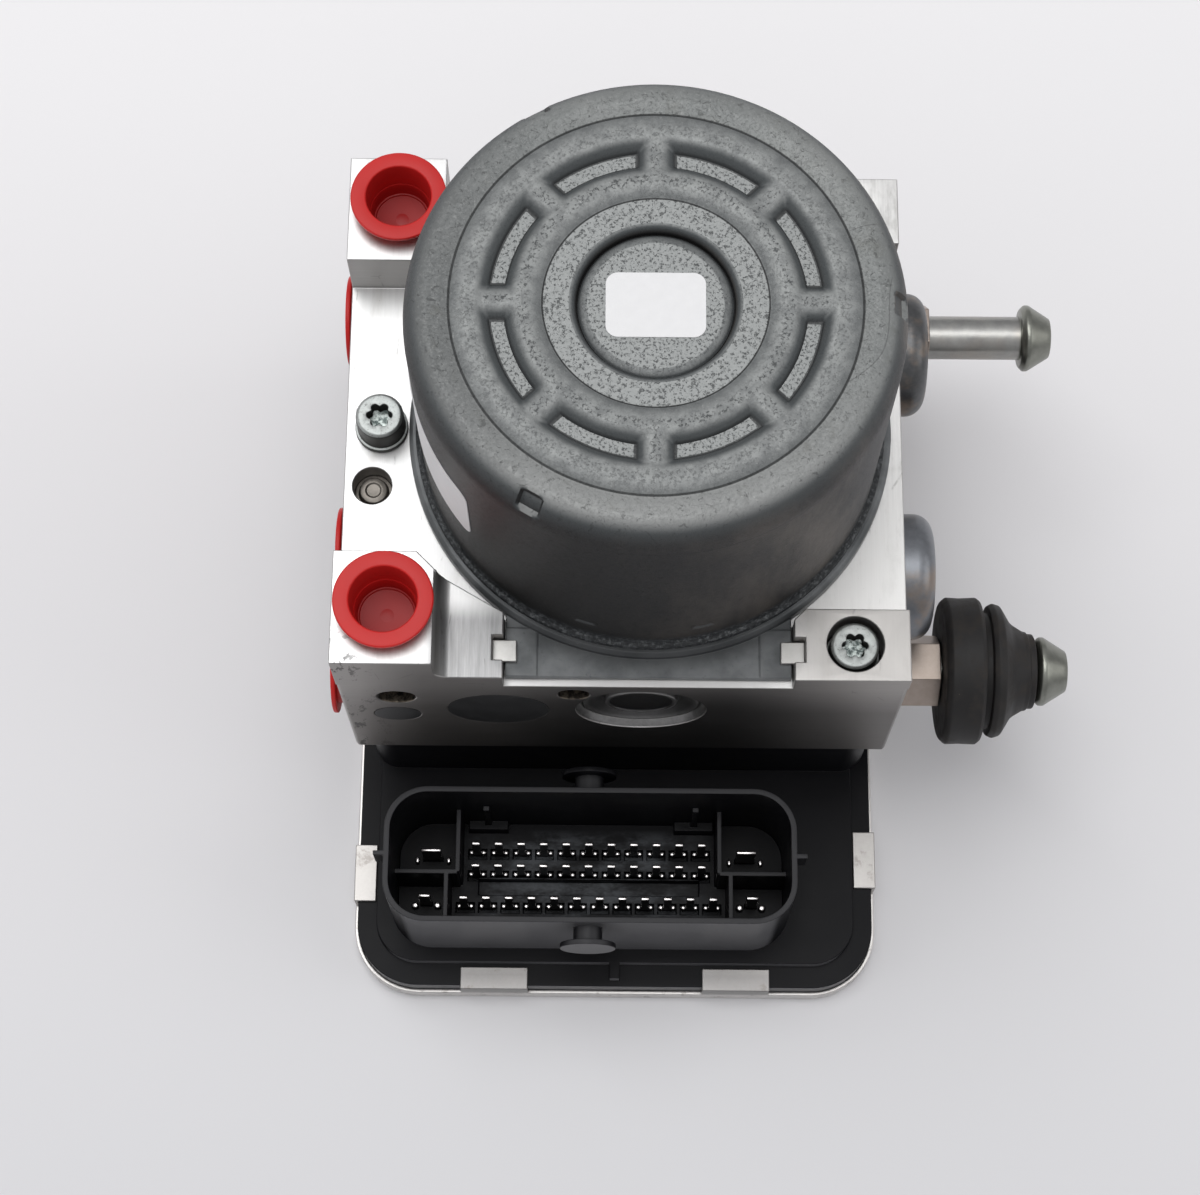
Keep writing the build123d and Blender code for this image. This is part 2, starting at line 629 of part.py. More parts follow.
def motor_clamps():
    """Two sheet tongues that hold the motor plate, each let into its notch."""
    (left_start, _), (_, right_end) = CLAMP_NOTCHES
    y0 = CLAMP_Y - CLAMP_WIDTH / 2
    y1 = CLAMP_Y + CLAMP_WIDTH / 2
    top = CLAMP_BASE + CLAMP_THICK
    left = box(left_start, TONGUE_LEFT + CLAMP_REACH, y0, y1, CLAMP_BASE, top)
    right = box(TONGUE_RIGHT - CLAMP_REACH, right_end, y0, y1, CLAMP_BASE, top)
    return Compound([left, right])


# ---- plugs, caps and studs in the block ----

def port_cap(stand):
    """A moulded transport cap, flange up, with its plug below z = 0."""
    lip = stand - CAP_FLANGE_THICK
    mouth = PORT_HOLE_R - RUNNING
    floor = stand - CAP_DEPTH - CAP_FLOOR
    points = [(0, floor), (CAP_FLOOR_R + CAP_WALL, floor), (mouth, 0), (mouth, lip)]
    points += [(CAP_FLANGE_R, lip), (CAP_FLANGE_R, stand), (mouth - CAP_WALL, stand)]
    points += [(mouth - CAP_WALL, 0), (CAP_FLOOR_R, floor + CAP_FLOOR), (0, floor + CAP_FLOOR)]
    cap = turned(points)
    return fillet(top_rims(cap), CAP_FLANGE_THICK / 3)


def pump_plug(side):
    """A screwed plug with a raised rim round a cupped middle."""
    depth = PUMP_PLUG_DEPTH
    sink = PUMP_PLUG_SLOPE
    rim_r = PUMP_PLUG_R - PUMP_PLUG_RIM
    points = [(0, 0), (PUMP_PLUG_R, 0), (PUMP_PLUG_R, depth - PUMP_PLUG_CHAMFER)]
    points += [(PUMP_PLUG_R - PUMP_PLUG_CHAMFER, depth), (rim_r, depth), (rim_r - sink, depth - sink)]
    points += [(PUMP_PLUG_CUP_R + sink, depth - sink), (PUMP_PLUG_CUP_R, depth - PUMP_PLUG_CUP_DEPTH)]
    points += [(0, depth - PUMP_PLUG_CUP_DEPTH)]
    return turned_on_y(points, PUMP_X, PLUG_INNER[side], PUMP_Z, side)


def pump_sleeve(side):
    """The pump's cylinder, closed by its plug at the outer end."""
    tube = [(PISTON_R + RUNNING, 0), (SLEEVE_R, 0), (SLEEVE_R, SLEEVE_LENGTH)]
    tube += [(PISTON_R + RUNNING, SLEEVE_LENGTH)]
    return turned_on_y(tube, PUMP_X, PLUG_INNER[side], PUMP_Z, -side)


def pump_piston(side):
    """A steel plunger with a bevelled nose that rides on the eccentric."""
    points = [(0, 0), (PISTON_R - PISTON_NOSE, 0), (PISTON_R, PISTON_NOSE), (PISTON_R, PISTON_LENGTH)]
    points += [(0, PISTON_LENGTH)]
    return turned_on_y(points, PUMP_X, side * PISTON_START, PUMP_Z, side)


def piston_spring(side):
    """The return spring between the plunger's outer end and the plug."""
    start = PISTON_START + PISTON_LENGTH
    length = abs(PLUG_INNER[side]) - start
    spring = coil_spring(PISTON_SPRING_R, PISTON_SPRING_WIRE, PISTON_SPRING_TURNS, length)
    return Pos(PUMP_X, side * start, PUMP_Z) * Rot(X=-90 * side) * spring


def accumulator_dome(y):
    """A drawn steel cap over an accumulator's bore, with a rounded edge."""
    inner_r = DOME_R - DOME_SHEET
    inner_rise = DOME_RISE - DOME_SHEET
    outer = upright(DOME_R, 0, DOME_RISE)
    outer = fillet(top_rims(outer), DOME_EDGE)
    room = upright(inner_r, 0, inner_rise)
    room = fillet(top_rims(room), DOME_EDGE - DOME_SHEET)
    return Pos(RIGHT, y, ACCUMULATOR_Z) * Rot(Y=90) * (outer - room)


def accumulator_piston(y):
    """A cup-shaped piston, open towards its spring."""
    radius = ACCUMULATOR_R - RUNNING
    base = RIGHT - ACCUMULATOR_DEPTH
    points = [(0, 0), (radius, 0), (radius, ACCUMULATOR_PISTON_LENGTH)]
    points += [(radius - ACCUMULATOR_WALL, ACCUMULATOR_PISTON_LENGTH)]
    points += [(radius - ACCUMULATOR_WALL, ACCUMULATOR_WALL), (0, ACCUMULATOR_WALL)]
    return turned_on_x(points, base, y, ACCUMULATOR_Z)


def accumulator_spring(y):
    """The spring between an accumulator's piston and its dome."""
    start = RIGHT - ACCUMULATOR_DEPTH + ACCUMULATOR_WALL
    length = RIGHT + DOME_RISE - DOME_SHEET - start
    spring = coil_spring(ACCUMULATOR_SPRING_R, ACCUMULATOR_SPRING_WIRE, ACCUMULATOR_SPRING_TURNS,
                         length)
    return Pos(start, y, ACCUMULATOR_Z) * Rot(Y=90) * spring


def mounting_stud(y):
    """A shouldered stud: thread, hexagon, plain shank and a conical head."""
    thread = along_x(STUD_THREAD_R, RIGHT - STUD_THREAD_DEPTH, RIGHT, y, STUD_Z)
    flats = RegularPolygon(STUD_HEX / 2, 6, major_radius=False, rotation=STUD_HEX_TURN)
    hexagon = extrude(flats, STUD_HEX_DEPTH)
    hexagon = Pos(RIGHT, y, STUD_Z) * Rot(Y=90) * hexagon
    end = STUD_SHANK_END
    head_end = end + STUD_HEAD_LENGTH
    shank = [(0, STUD_HEX_DEPTH), (STUD_SHANK_R, STUD_HEX_DEPTH), (STUD_SHANK_R, end)]
    shank += [(STUD_HEAD_R - STUD_HEAD_BEVEL, end), (STUD_HEAD_R, end + STUD_HEAD_BEVEL)]
    shank += [(STUD_HEAD_R, end + STUD_HEAD_LAND), (STUD_HEAD_TIP_R, head_end), (0, head_end)]
    return thread + hexagon + turned_on_x(shank, RIGHT, y, STUD_Z)


def mount_grommet():
    """A rubber grommet pushed over the front stud, with a groove for its bracket."""
    start = STUD_HEX_DEPTH + GAP
    flange_end = start + GROMMET_FLANGE_LENGTH
    groove_end = flange_end + GROMMET_GROOVE_LENGTH
    cone_end = groove_end + GROMMET_CONE_LAND
    nose_end = STUD_SHANK_END - GAP
    bore = STUD_SHANK_R + RUNNING
    back_in, back_along = GROMMET_FLANGE_BEVEL
    lip_in, lip_along = GROMMET_LIP_BEVEL
    points = [(bore, start), (GROMMET_FLANGE_R - back_in, start)]
    points += [(GROMMET_FLANGE_R, start + back_along), (GROMMET_FLANGE_R, flange_end - lip_along)]
    points += [(GROMMET_FLANGE_R - lip_in, flange_end), (GROMMET_GROOVE_R, flange_end)]
    points += [(GROMMET_GROOVE_R, groove_end), (GROMMET_CONE_R, groove_end)]
    points += [(GROMMET_CONE_R, cone_end), (GROMMET_NOSE_R, nose_end - GROMMET_NOSE_LAND)]
    points += [(GROMMET_NOSE_R, nose_end), (bore, nose_end)]
    return turned_on_x(points, RIGHT, STUD_YS[0], STUD_Z)


def face_plugs():
    """The flush plugs pressed into the front face: the damper's and a drilling's."""
    damper = along_y(DAMPER_R, FRONT, FRONT + DAMPER_DEPTH, DAMPER_X, PUMP_Z)
    flush = along_y(FLUSH_PLUG_R, FRONT, FRONT + FLUSH_PLUG_DEPTH, *FLUSH_PLUG)
    return damper, flush


def sealing_balls():
    """Steel balls pressed into the two open drillings of the front face."""
    return Compound([Pos(x, FRONT + radius + BALL_SINK, z) * Sphere(radius)
                     for (x, z), radius in BALL_HOLES])


def bleed_plug():
    """A stepped plug at the bottom of the drilling in the top face."""
    base = MOTOR_SEAT - TOP_HOLE_DEPTH
    step = TOP_PLUG_HEIGHT / 2
    points = [(0, 0), (TOP_HOLE_R - FIT, 0), (TOP_HOLE_R - FIT, step), (TOP_PLUG_R, step)]
    points += [(TOP_PLUG_R, TOP_PLUG_HEIGHT), (0, TOP_PLUG_HEIGHT)]
    return Pos(TOP_HOLE[0], TOP_HOLE[1], base) * turned(points)


def housing_screw(place, seat):
    """A pan screw with a washer face and a six-lobed socket."""
    x, y = place
    head_base = seat + SCREW_WASHER_THICK
    head_top = head_base + SCREW_HEAD_HEIGHT
    socket_base = head_top - SCREW_SOCKET_DEPTH
    screw = upright(SCREW_R, SCREW_TIP, seat, x, y)
    screw += upright(SCREW_WASHER_R, seat, head_base, x, y)
    head = upright(SCREW_HEAD_R, head_base, head_top, x, y)
    screw += chamfer(top_rims(head), SCREW_HEAD_CHAMFER)
    socket = upright(SCREW_SOCKET_R * SCREW_SOCKET_CORE, socket_base, head_top, x, y)
    lobe_r = SCREW_SOCKET_R * SCREW_SOCKET_LOBE
    lobe = upright(lobe_r, socket_base, head_top, SCREW_SOCKET_R - lobe_r)
    for index in range(6):
        socket += Pos(x, y, 0) * Rot(Z=60 * index) * lobe
    return screw - socket


# ---- pump motor ----

def motor_plate():
    """The motor's end plate: a bevelled disc with a padded tongue towards the front."""
    disc = turned([(0, 0), (PLATE_R, 0), (PLATE_R, PLATE_THICK - PLATE_BEVEL),
                   (PLATE_R - PLATE_BEVEL, PLATE_THICK), (0, PLATE_THICK)])
    tongue = box(TONGUE_LEFT, TONGUE_RIGHT, TONGUE_FRONT, 0, 0, TONGUE_THICK)
    pad_top = TONGUE_THICK + TONGUE_PAD_RISE
    pad_back = TONGUE_FRONT + TONGUE_PAD_DEPTH
    for end, inward in ((TONGUE_LEFT, 1), (TONGUE_RIGHT, -1)):
        tongue += box(end, end + inward * TONGUE_PAD_WIDTH, TONGUE_FRONT, pad_back, 0, pad_top)
    bore = upright(BEARING_R - BEARING_RACE, 0, PLATE_THICK)
    return Pos(0, 0, MOTOR_SEAT) * (disc + tongue - bore)


def can_outline():
    """The can's outer profile, from the lip at its foot up and in to the button."""
    top = CAN_TOP
    lip = PLATE_TOP + CAN_LIP_THICK
    lip_r = CAN_R + CAN_LIP
    return [
        (lip_r, PLATE_TOP), (lip_r, lip), (CAN_R, lip), (CAN_R, top - BAND_DROP),
        (BAND_R, top - BAND_DROP), (CREST_R + CREST_HALF, top), (CREST_R - CREST_HALF, top),
        (POCKET_OUTER_R, top - POCKET_DROP), (POCKET_INNER_R, top - POCKET_DROP),
        (INNER_CREST_R + CREST_HALF, top - INNER_CREST_DROP),
        (INNER_CREST_R - CREST_HALF, top - INNER_CREST_DROP),
        (RING_R, top - RING_DROP), (GROOVE_R, top - RING_DROP),
        (GROOVE_R - EDGE_SLOPE, top - GROOVE_DROP), (BUTTON_R + EDGE_SLOPE, top - GROOVE_DROP),
        (BUTTON_R, top - BUTTON_DROP), (0, top - BUTTON_DROP),
    ]


def band_rims(solid):
    """The round edges at the level of the can's flat band."""
    level = CAN_TOP - BAND_DROP
    return [edge for edge in solid.edges().filter_by(GeomType.CIRCLE) if abs(edge.center().Z - level) < FIT]


def can_shell():
    """The drawn sheet: the turned profile less the room inside, with the bush's cup left in."""
    roof = CAN_TOP - POCKET_DROP - CAN_WALL
    outer = turned([(0, PLATE_TOP)] + can_outline())
    shoulder = [edge for edge in band_rims(outer) if edge.radius > BAND_R + EDGE_SLOPE]
    outer = fillet(shoulder, SHOULDER_R)
    room = upright(CAN_R - CAN_WALL, PLATE_TOP, roof)
    room = fillet(top_rims(room), SHOULDER_R - CAN_WALL)
    cup_r = BUSH_R + FIT
    cup_base = CUP_TOP - BUSH_LENGTH
    cup = upright(cup_r + BUSH_CUP_WALL, cup_base, roof)
    cup += upright(GROOVE_R + CAN_WALL, CUP_TOP, roof)
    return outer - (room - cup) - upright(cup_r, cup_base, CUP_TOP)


def motor_can():
    """The deep-drawn can, with its spoked top, the dimples on its shoulder and its lance marks."""
    can = can_shell()
    spoke = box(INNER_CREST_R, CREST_R, -SPOKE_WIDTH / 2, SPOKE_WIDTH / 2,
                CAN_TOP - POCKET_DROP - SPOKE_SINK, CAN_TOP - INNER_CREST_DROP)
    for index in range(SPOKES):
        can += Rot(Z=index * 360 / SPOKES) * spoke
    shoulder_mid = SHOULDER_R / 3
    dimple = Pos(CAN_R - shoulder_mid, 0, CAN_TOP - BAND_DROP - shoulder_mid) * Rot(Y=45)
    dimple *= Box(DIMPLE_SIZE, DIMPLE_SIZE, 2 * DIMPLE_DEPTH)
    for angle in DIMPLE_ANGLES:
        can -= Rot(Z=angle) * dimple
    lance_base = PLATE_TOP + LANCE_RISE
    lance = box(CAN_R - LANCE_DEPTH, CAN_R + OVERLAP, -LANCE_WIDTH / 2, LANCE_WIDTH / 2,
                lance_base, lance_base + LANCE_HEIGHT)
    for angle in LANCE_ANGLES:
        can -= Rot(Z=angle) * lance
    return can


def field_magnets():
    """Curved magnets against the inside of the can."""
    start = CORE_START - MAGNET_OVERHANG
    end = CORE_END + MAGNET_OVERHANG
    ring = upright(MAGNET_R, start, end) - upright(MAGNET_INNER_R, start, end)
    sector = wedge(MAGNET_SPAN, 2 * MAGNET_R, start, end)
    places = [45 + index * 360 / MAGNET_COUNT for index in range(MAGNET_COUNT)]
    return Compound([ring & (Rot(Z=angle) * sector) for angle in places])


def armature_core():
    """The laminated core: a hub with T-shaped teeth between open slots."""
    core = upright(ARMATURE_R, CORE_START, CORE_END)
    slot_end = ARMATURE_R - CORE_TOOTH_TIP
    half = CORE_SLOT_WIDTH / 2
    mouth_half = CORE_MOUTH_WIDTH / 2
    slot = box(CORE_HUB_R, slot_end, -half, half, CORE_START, CORE_END)
    slot += box(slot_end - OVERLAP, ARMATURE_R + OVERLAP, -mouth_half, mouth_half, CORE_START, CORE_END)
    for index in range(CORE_SLOTS):
        core -= Rot(Z=index * 360 / CORE_SLOTS) * slot
    return core - upright(SHAFT_R + FIT, CORE_START, CORE_END)


def armature_windings():
    """The copper: a bar in each slot, joined by a wound ring at each end of the core."""
    outer = ARMATURE_R - CORE_TOOTH_TIP - COIL_MARGIN
    inner = CORE_HUB_R + COIL_MARGIN
    half = CORE_SLOT_WIDTH / 2 - COIL_MARGIN
    ring = upright(outer, 0, COIL_END_HEIGHT) - upright(inner, 0, COIL_END_HEIGHT)
    ring = fillet(top_rims(ring), COIL_END_HEIGHT / 3)
    windings = Pos(0, 0, CORE_END) * ring + Pos(0, 0, CORE_START) * Rot(X=180) * ring
    for index in range(CORE_SLOTS):
        windings += Rot(Z=index * 360 / CORE_SLOTS) * box(inner, outer, -half, half, CORE_START, CORE_END)
    return windings


def commutator():
    """The commutator: bars parted by fine saw cuts, on an insulating hub."""
    end = COMMUTATOR_BASE + COMMUTATOR_LENGTH
    width, depth = COMMUTATOR_SAW
    drum = upright(COMMUTATOR_R, COMMUTATOR_BASE, end)
    saw = box(COMMUTATOR_R - depth, COMMUTATOR_R + OVERLAP, -width / 2, width / 2, COMMUTATOR_BASE, end)
    for index in range(COMMUTATOR_BARS):
        drum -= Rot(Z=index * 360 / COMMUTATOR_BARS) * saw
    return drum - upright(SHAFT_R + FIT, COMMUTATOR_BASE, end)


def motor_shaft():
    """The shaft, from the top bush down to the eccentric's end."""
    end = CUP_TOP - SHAFT_END_GAP
    points = [(0, ECCENTRIC_BASE), (SHAFT_R, ECCENTRIC_BASE), (SHAFT_R, end - BUSH_LENGTH)]
    points += [(JOURNAL_R, end - BUSH_LENGTH), (JOURNAL_R, end), (0, end)]
    return turned(points)


def eccentric():
    """The offset ring that works the pistons."""
    ring = upright(ECCENTRIC_R, ECCENTRIC_BASE, ECCENTRIC_TOP, ECCENTRIC_OFFSET, 0)
    return ring - upright(SHAFT_R + FIT, ECCENTRIC_BASE, ECCENTRIC_TOP)


def top_bush():
    """The sintered bush in the cup under the can's button."""
    base = CUP_TOP - BUSH_LENGTH
    return upright(BUSH_R, base, CUP_TOP) - upright(JOURNAL_R + RUNNING, base, CUP_TOP)


def bearing_ring(inner, outer):
    """One race of the ball bearing, with its groove turned out."""
    race = upright(outer, BEARING_BASE, BEARING_TOP) - upright(inner, BEARING_BASE, BEARING_TOP)
    return race - Pos(0, 0, BEARING_MID) * Torus(BALL_TRACK_R, BALL_R + RUNNING)


def bearing_balls():
    """The balls between the two races."""
    ball = Pos(BALL_TRACK_R, 0, BEARING_MID) * Sphere(BALL_R)
    return Compound([Rot(Z=index * 360 / BEARING_BALLS) * ball for index in range(BEARING_BALLS)])


def brush_holder():
    """The moulded ring that carries the two brush boxes."""
    ring = upright(HOLDER_RING_R, PLATE_TOP, BRUSH_BASE)
    ring -= upright(COMMUTATOR_R + AIR_GAP, PLATE_TOP, BRUSH_BASE)
    half = BRUSH_WIDTH / 2 + RUNNING
    top = BRUSH_BASE + BRUSH_HEIGHT + 2 * RUNNING
    shell = box(BRUSH_BOX_START, BRUSH_BOX_END, -half - BRUSH_WALL, half + BRUSH_WALL, BRUSH_BASE,
                top + BRUSH_WALL)
    shell -= box(BRUSH_BOX_START, BRUSH_BOX_END - BRUSH_WALL, -half, half, BRUSH_BASE, top)
    for angle in (0, 180):
        ring += Rot(Z=angle) * shell
    return ring


def brush(angle):
    """A carbon brush in its box."""
    base = BRUSH_BASE + RUNNING
    half = BRUSH_WIDTH / 2
    block = box(BRUSH_START, BRUSH_START + BRUSH_LENGTH, -half, half, base, base + BRUSH_HEIGHT)
    return Rot(Z=angle) * block


def brush_spring(angle):
    """The spring that presses a brush on the commutator."""
    start = BRUSH_START + BRUSH_LENGTH
    length = BRUSH_BOX_END - BRUSH_WALL - start
    spring = coil_spring(BRUSH_SPRING_R, BRUSH_SPRING_WIRE, BRUSH_SPRING_TURNS, length)
    mid = BRUSH_BASE + RUNNING + BRUSH_HEIGHT / 2
    return Rot(Z=angle) * Pos(start, 0, mid) * Rot(Y=90) * spring


def top_sticker():
    """A blank sticker on the can's button."""
    top = CAN_TOP - BUTTON_DROP
    half_width = TOP_STICKER_WIDTH / 2
    half_depth = TOP_STICKER_DEPTH / 2
    return plate(-half_width, half_width, -half_depth, half_depth, top, top + STICKER_THICK,
                 STICKER_CORNER)


def side_sticker():
    """A blank sticker wrapped on the can's wall."""
    top = CAN_TOP - SIDE_STICKER_DROP
    base = top - SIDE_STICKER_HEIGHT
    inner = CAN_R + FIT
    ring = upright(inner + STICKER_THICK, base, top) - upright(inner, base, top)
    sector = wedge(SIDE_STICKER_SPAN, 2 * CAN_R, base, top)
    return ring & (Rot(Z=SIDE_STICKER_START + SIDE_STICKER_SPAN / 2) * sector)


# ---- control unit ----

def tower_plate(inset, corner, z0, z1):
    """A rounded plate over the tower's outline, moved in all round."""
    return plate(TOWER_LEFT + inset, TOWER_RIGHT - inset, TOWER_FRONT + inset, TOWER_BACK - inset,
                 z0, z1, corner)


def tower():
    """The open wall that stands between the deck and the block, round the coils."""
    inside = tower_plate(0, TOWER_CORNER, PLATEAU_TOP, BLOCK_BASE)
    walls = inside - tower_plate(TOWER_WALL, TOWER_INNER_CORNER, PLATEAU_TOP, BLOCK_BASE)
    for (x, y), _ in SCREWS:
        walls += inside & upright(SCREW_BOSS_R, PLATEAU_TOP, BLOCK_BASE, x, y)
        walls -= upright(SCREW_R + FIT, SCREW_TIP - SCREW_END_ROOM, BLOCK_BASE, x, y)
    return walls - seal_loop(0)


def seal_loop(clearance):
    """A ring that follows the tower's wall, let into its top edge."""
    outer = SEAL_INSET + clearance
    inner = SEAL_INSET + SEAL_WIDTH - clearance
    base = BLOCK_BASE - SEAL_DEPTH
    loop = tower_plate(outer, TOWER_CORNER - outer, base, BLOCK_BASE)
    return loop - tower_plate(inner, TOWER_CORNER - inner, base, BLOCK_BASE)


def shroud_side(side):
    """The dividers, key and side rib of one half of the connector's collar."""
    half = DIVIDER_WALL / 2
    top = PLATEAU_TOP + DIVIDER_HEIGHT
    back = SHROUD_BACK - SHROUD_WALL / 2
    front = SHROUD_FRONT + SHROUD_WALL / 2
    wall = SHROUD_MID_X + side * (SHROUD_WIDTH - SHROUD_WALL) / 2
    edge = SHROUD_MID_X + side * SHROUD_WIDTH / 2
    x = CONTACT_MID_X + side * DIVIDER_X
    side_x = CONTACT_MID_X + side * SIDE_DIVIDER_X
    key = SHROUD_MID_X + side * KEY_X
    foot_x, foot_y, foot_z = KEY_FOOT
    rib_x, rib_y, rib_z = SIDE_RIB
    pieces = box(x - half, x + half, DIVIDER_Y, back, PLATEAU_TOP, top)
    pieces += box(x, wall, DIVIDER_Y - half, DIVIDER_Y + half, PLATEAU_TOP, top)
    pieces += box(side_x - half, side_x + half, front, DIVIDER_Y, PLATEAU_TOP, top)
    pieces += box(key - KEY_WIDTH / 2, key + KEY_WIDTH / 2, back - KEY_DEPTH, back, PLATEAU_TOP,
                  PLATEAU_TOP + KEY_HEIGHT)
    pieces += box(key - foot_x / 2, key + foot_x / 2, back - foot_y, back, PLATEAU_TOP,
                  PLATEAU_TOP + foot_z)
    pieces += box(edge, edge + side * rib_x, SHROUD_MID_Y - rib_y / 2, SHROUD_MID_Y + rib_y / 2,
                  SHROUD_TOP - rib_z, SHROUD_TOP)
    return pieces


def shroud():
    """The connector's collar: a thin rounded wall with dividers, keys and lever pegs."""
    wall = plate(SHROUD_LEFT, SHROUD_RIGHT, SHROUD_FRONT, SHROUD_BACK, PLATEAU_TOP, SHROUD_TOP,
                 SHROUD_CORNER)
    wall -= plate(SHROUD_LEFT + SHROUD_WALL, SHROUD_RIGHT - SHROUD_WALL, SHROUD_FRONT + SHROUD_WALL,
                  SHROUD_BACK - SHROUD_WALL, PLATEAU_TOP, SHROUD_TOP, SHROUD_CORNER - SHROUD_WALL)
    for side in (-1, 1):
        wall += shroud_side(side)
    peg_z = SHROUD_TOP - PEG_DROP
    for face, side in ((SHROUD_FRONT, -1), (SHROUD_BACK, 1)):
        end = face + side * PEG_LENGTH
        wall += along_y(PEG_R, face, end, PEG_X, peg_z)
        wall += along_y(PEG_HEAD_R, end - side * PEG_HEAD_THICK, end, PEG_X, peg_z)
    return wall


def connector_cuts():
    """The pin holes, blade holes, guide pockets and the slot in the connector's floor."""
    left = CONTACT_MID_X - SLOT_HALF
    right = CONTACT_MID_X + SLOT_HALF
    front, back = SLOT_Y
    width, depth, sink = PIN_POCKET
    cuts = Part()
    for x, y in pin_places():
        cuts += centred_box(x, y - PIN_POCKET_SHIFT, width, depth, PLATEAU_TOP - sink, PLATEAU_TOP)
    cuts -= box(left, right, back, back + SLOT_LIP, PLATEAU_TOP - SLOT_DEPTH, PLATEAU_TOP)
    cuts += box(left, right, front, back, PLATEAU_TOP - SLOT_DEPTH, PLATEAU_TOP)
    for x, y in pin_places():
        cuts += centred_box(x, y, PIN_WIDTH + 2 * FIT, PIN_THICK + 2 * FIT, DECK_BASE, PLATEAU_TOP)
    for x, y, blade in blade_places():
        cuts += centred_box(x, y, blade + 2 * FIT, BLADE_THICK + 2 * FIT, DECK_BASE, PLATEAU_TOP)
    return cuts


def tab_boxes():
    """Where the cover's tabs lie on the flange, as box corners in X and Y."""
    half = FRONT_TAB_WIDTH / 2
    side_half = SIDE_TAB_WIDTH / 2
    boxes = []
    for x in FRONT_TAB_XS:
        boxes.append((x - half, x + half, FLANGE_FRONT, FLANGE_FRONT + TAB_REACH))
        boxes.append((x - half, x + half, FLANGE_BACK - TAB_REACH, FLANGE_BACK))
    for y in LEFT_TAB_YS:
        boxes.append((FLANGE_LEFT, FLANGE_LEFT + TAB_REACH, y - side_half, y + side_half))
    for y in RIGHT_TAB_YS:
        boxes.append((FLANGE_RIGHT - TAB_REACH, FLANGE_RIGHT, y - side_half, y + side_half))
    return boxes


def flange_plate(inset, corner, z0, z1, front_inset=None):
    """A rounded plate over the flange's outline, moved in all round (out, if negative)."""
    front = inset if front_inset is None else front_inset
    return plate(FLANGE_LEFT + inset, FLANGE_RIGHT - inset, FLANGE_FRONT + front, FLANGE_BACK - inset,
                 z0, z1, corner)


def ecu_housing():
    """The moulded housing: flange, plateau, tower and connector in one piece."""
    body = flange_plate(0, FLANGE_CORNER, COVER_SHEET, FLANGE_TOP)
    body += flange_plate(PLATEAU_INSET, FLANGE_CORNER - PLATEAU_INSET, FLANGE_TOP, PLATEAU_TOP,
                         PLATEAU_FRONT_INSET)
    body -= flange_plate(FLANGE_WALL, FLANGE_CORNER - FLANGE_WALL, COVER_SHEET, DECK_BASE)
    body += tower()
    body += shroud()
    body -= connector_cuts()
    rib_front = FLANGE_FRONT + FRONT_RIB_INSET
    rib_back = FLANGE_FRONT + PLATEAU_FRONT_INSET + OVERLAP
    body += box(FLANGE_MID_X - FRONT_RIB_WIDTH / 2, FLANGE_MID_X + FRONT_RIB_WIDTH / 2, rib_front,
                rib_back, FLANGE_TOP - OVERLAP, PLATEAU_TOP)
    for x, y in board_posts():
        body += upright(BOARD_POST_R, BOARD_TOP, DECK_BASE, x, y)
    return body


def board_posts():
    """The short posts that the circuit board is fixed to."""
    xs = (FLANGE_LEFT + BOARD_POST_INSET, FLANGE_MID_X, FLANGE_RIGHT - BOARD_POST_INSET)
    ys = (FLANGE_BACK - BOARD_POST_INSET, TOWER_FRONT)
    return [(x, y) for x in xs for y in ys]


def circuit_board():
    """The circuit board that the pins and blades stand on."""
    margin = FLANGE_WALL + GAP
    return flange_plate(margin, FLANGE_CORNER - margin, BOARD_BASE, BOARD_TOP)


def board_parts():
    """The larger parts under the board: two chips and a row of drivers."""
    room = BOARD_BASE - COVER_SHEET
    parts = [centred_box(x, y, size, size, BOARD_BASE - CHIP_SHARE * room, BOARD_BASE)
             for x, y, size in CHIPS]
    for x in DRIVER_XS:
        parts.append(centred_box(x, DRIVER_Y, *DRIVER_SIZE, BOARD_BASE - DRIVER_SHARE * room, BOARD_BASE))
    return Compound(parts)


def cover_tab(x0, x1, y0, y1):
    """One crimped tab: up outside the flange's edge and over it."""
    skirt = TAB_SHEET + FIT
    left = skirt if x0 == FLANGE_LEFT else 0
    right = skirt if x1 == FLANGE_RIGHT else 0
    front = skirt if y0 == FLANGE_FRONT else 0
    back = skirt if y1 == FLANGE_BACK else 0
    tab = box(x0 - left, x1 + right, y0 - front, y1 + back, COVER_SHEET + TAB_ROOT,
              FLANGE_TOP + TAB_SHEET)
    return tab - flange_plate(-FIT, FLANGE_CORNER + FIT, COVER_SHEET, FLANGE_TOP)


def ecu_cover():
    """The pressed metal cover: a shallow tray whose tabs are crimped over the flange."""
    skirt = TAB_SHEET + FIT
    rim = COVER_SHEET + COVER_SKIRT
    tray = flange_plate(-skirt, FLANGE_CORNER + skirt, 0, rim)
    tray -= flange_plate(-FIT, FLANGE_CORNER + FIT, COVER_SHEET, rim)
    tray = chamfer(tray.faces().sort_by(Axis.Z)[0].edges(), COVER_CHAMFER)
    for corners in tab_boxes():
        tray += cover_tab(*corners)
    return tray


def contact(x, y, width, thickness):
    """A flat contact from the board up into the connector, with a bevelled tip."""
    blade = centred_box(x, y, width, thickness, BOARD_TOP, PLATEAU_TOP + PIN_HEIGHT)
    return chamfer(blade.edges().filter_by(Axis.X).group_by(Axis.Z)[-1], thickness / 4)


def signal_pins():
    """The small contacts, row by row."""
    return Compound([contact(x, y, PIN_WIDTH, PIN_THICK) for x, y in pin_places()])


def power_blades():
    """The wide contacts for the motor and valve current."""
    return Compound([contact(x, y, width, BLADE_THICK) for x, y, width in blade_places()])


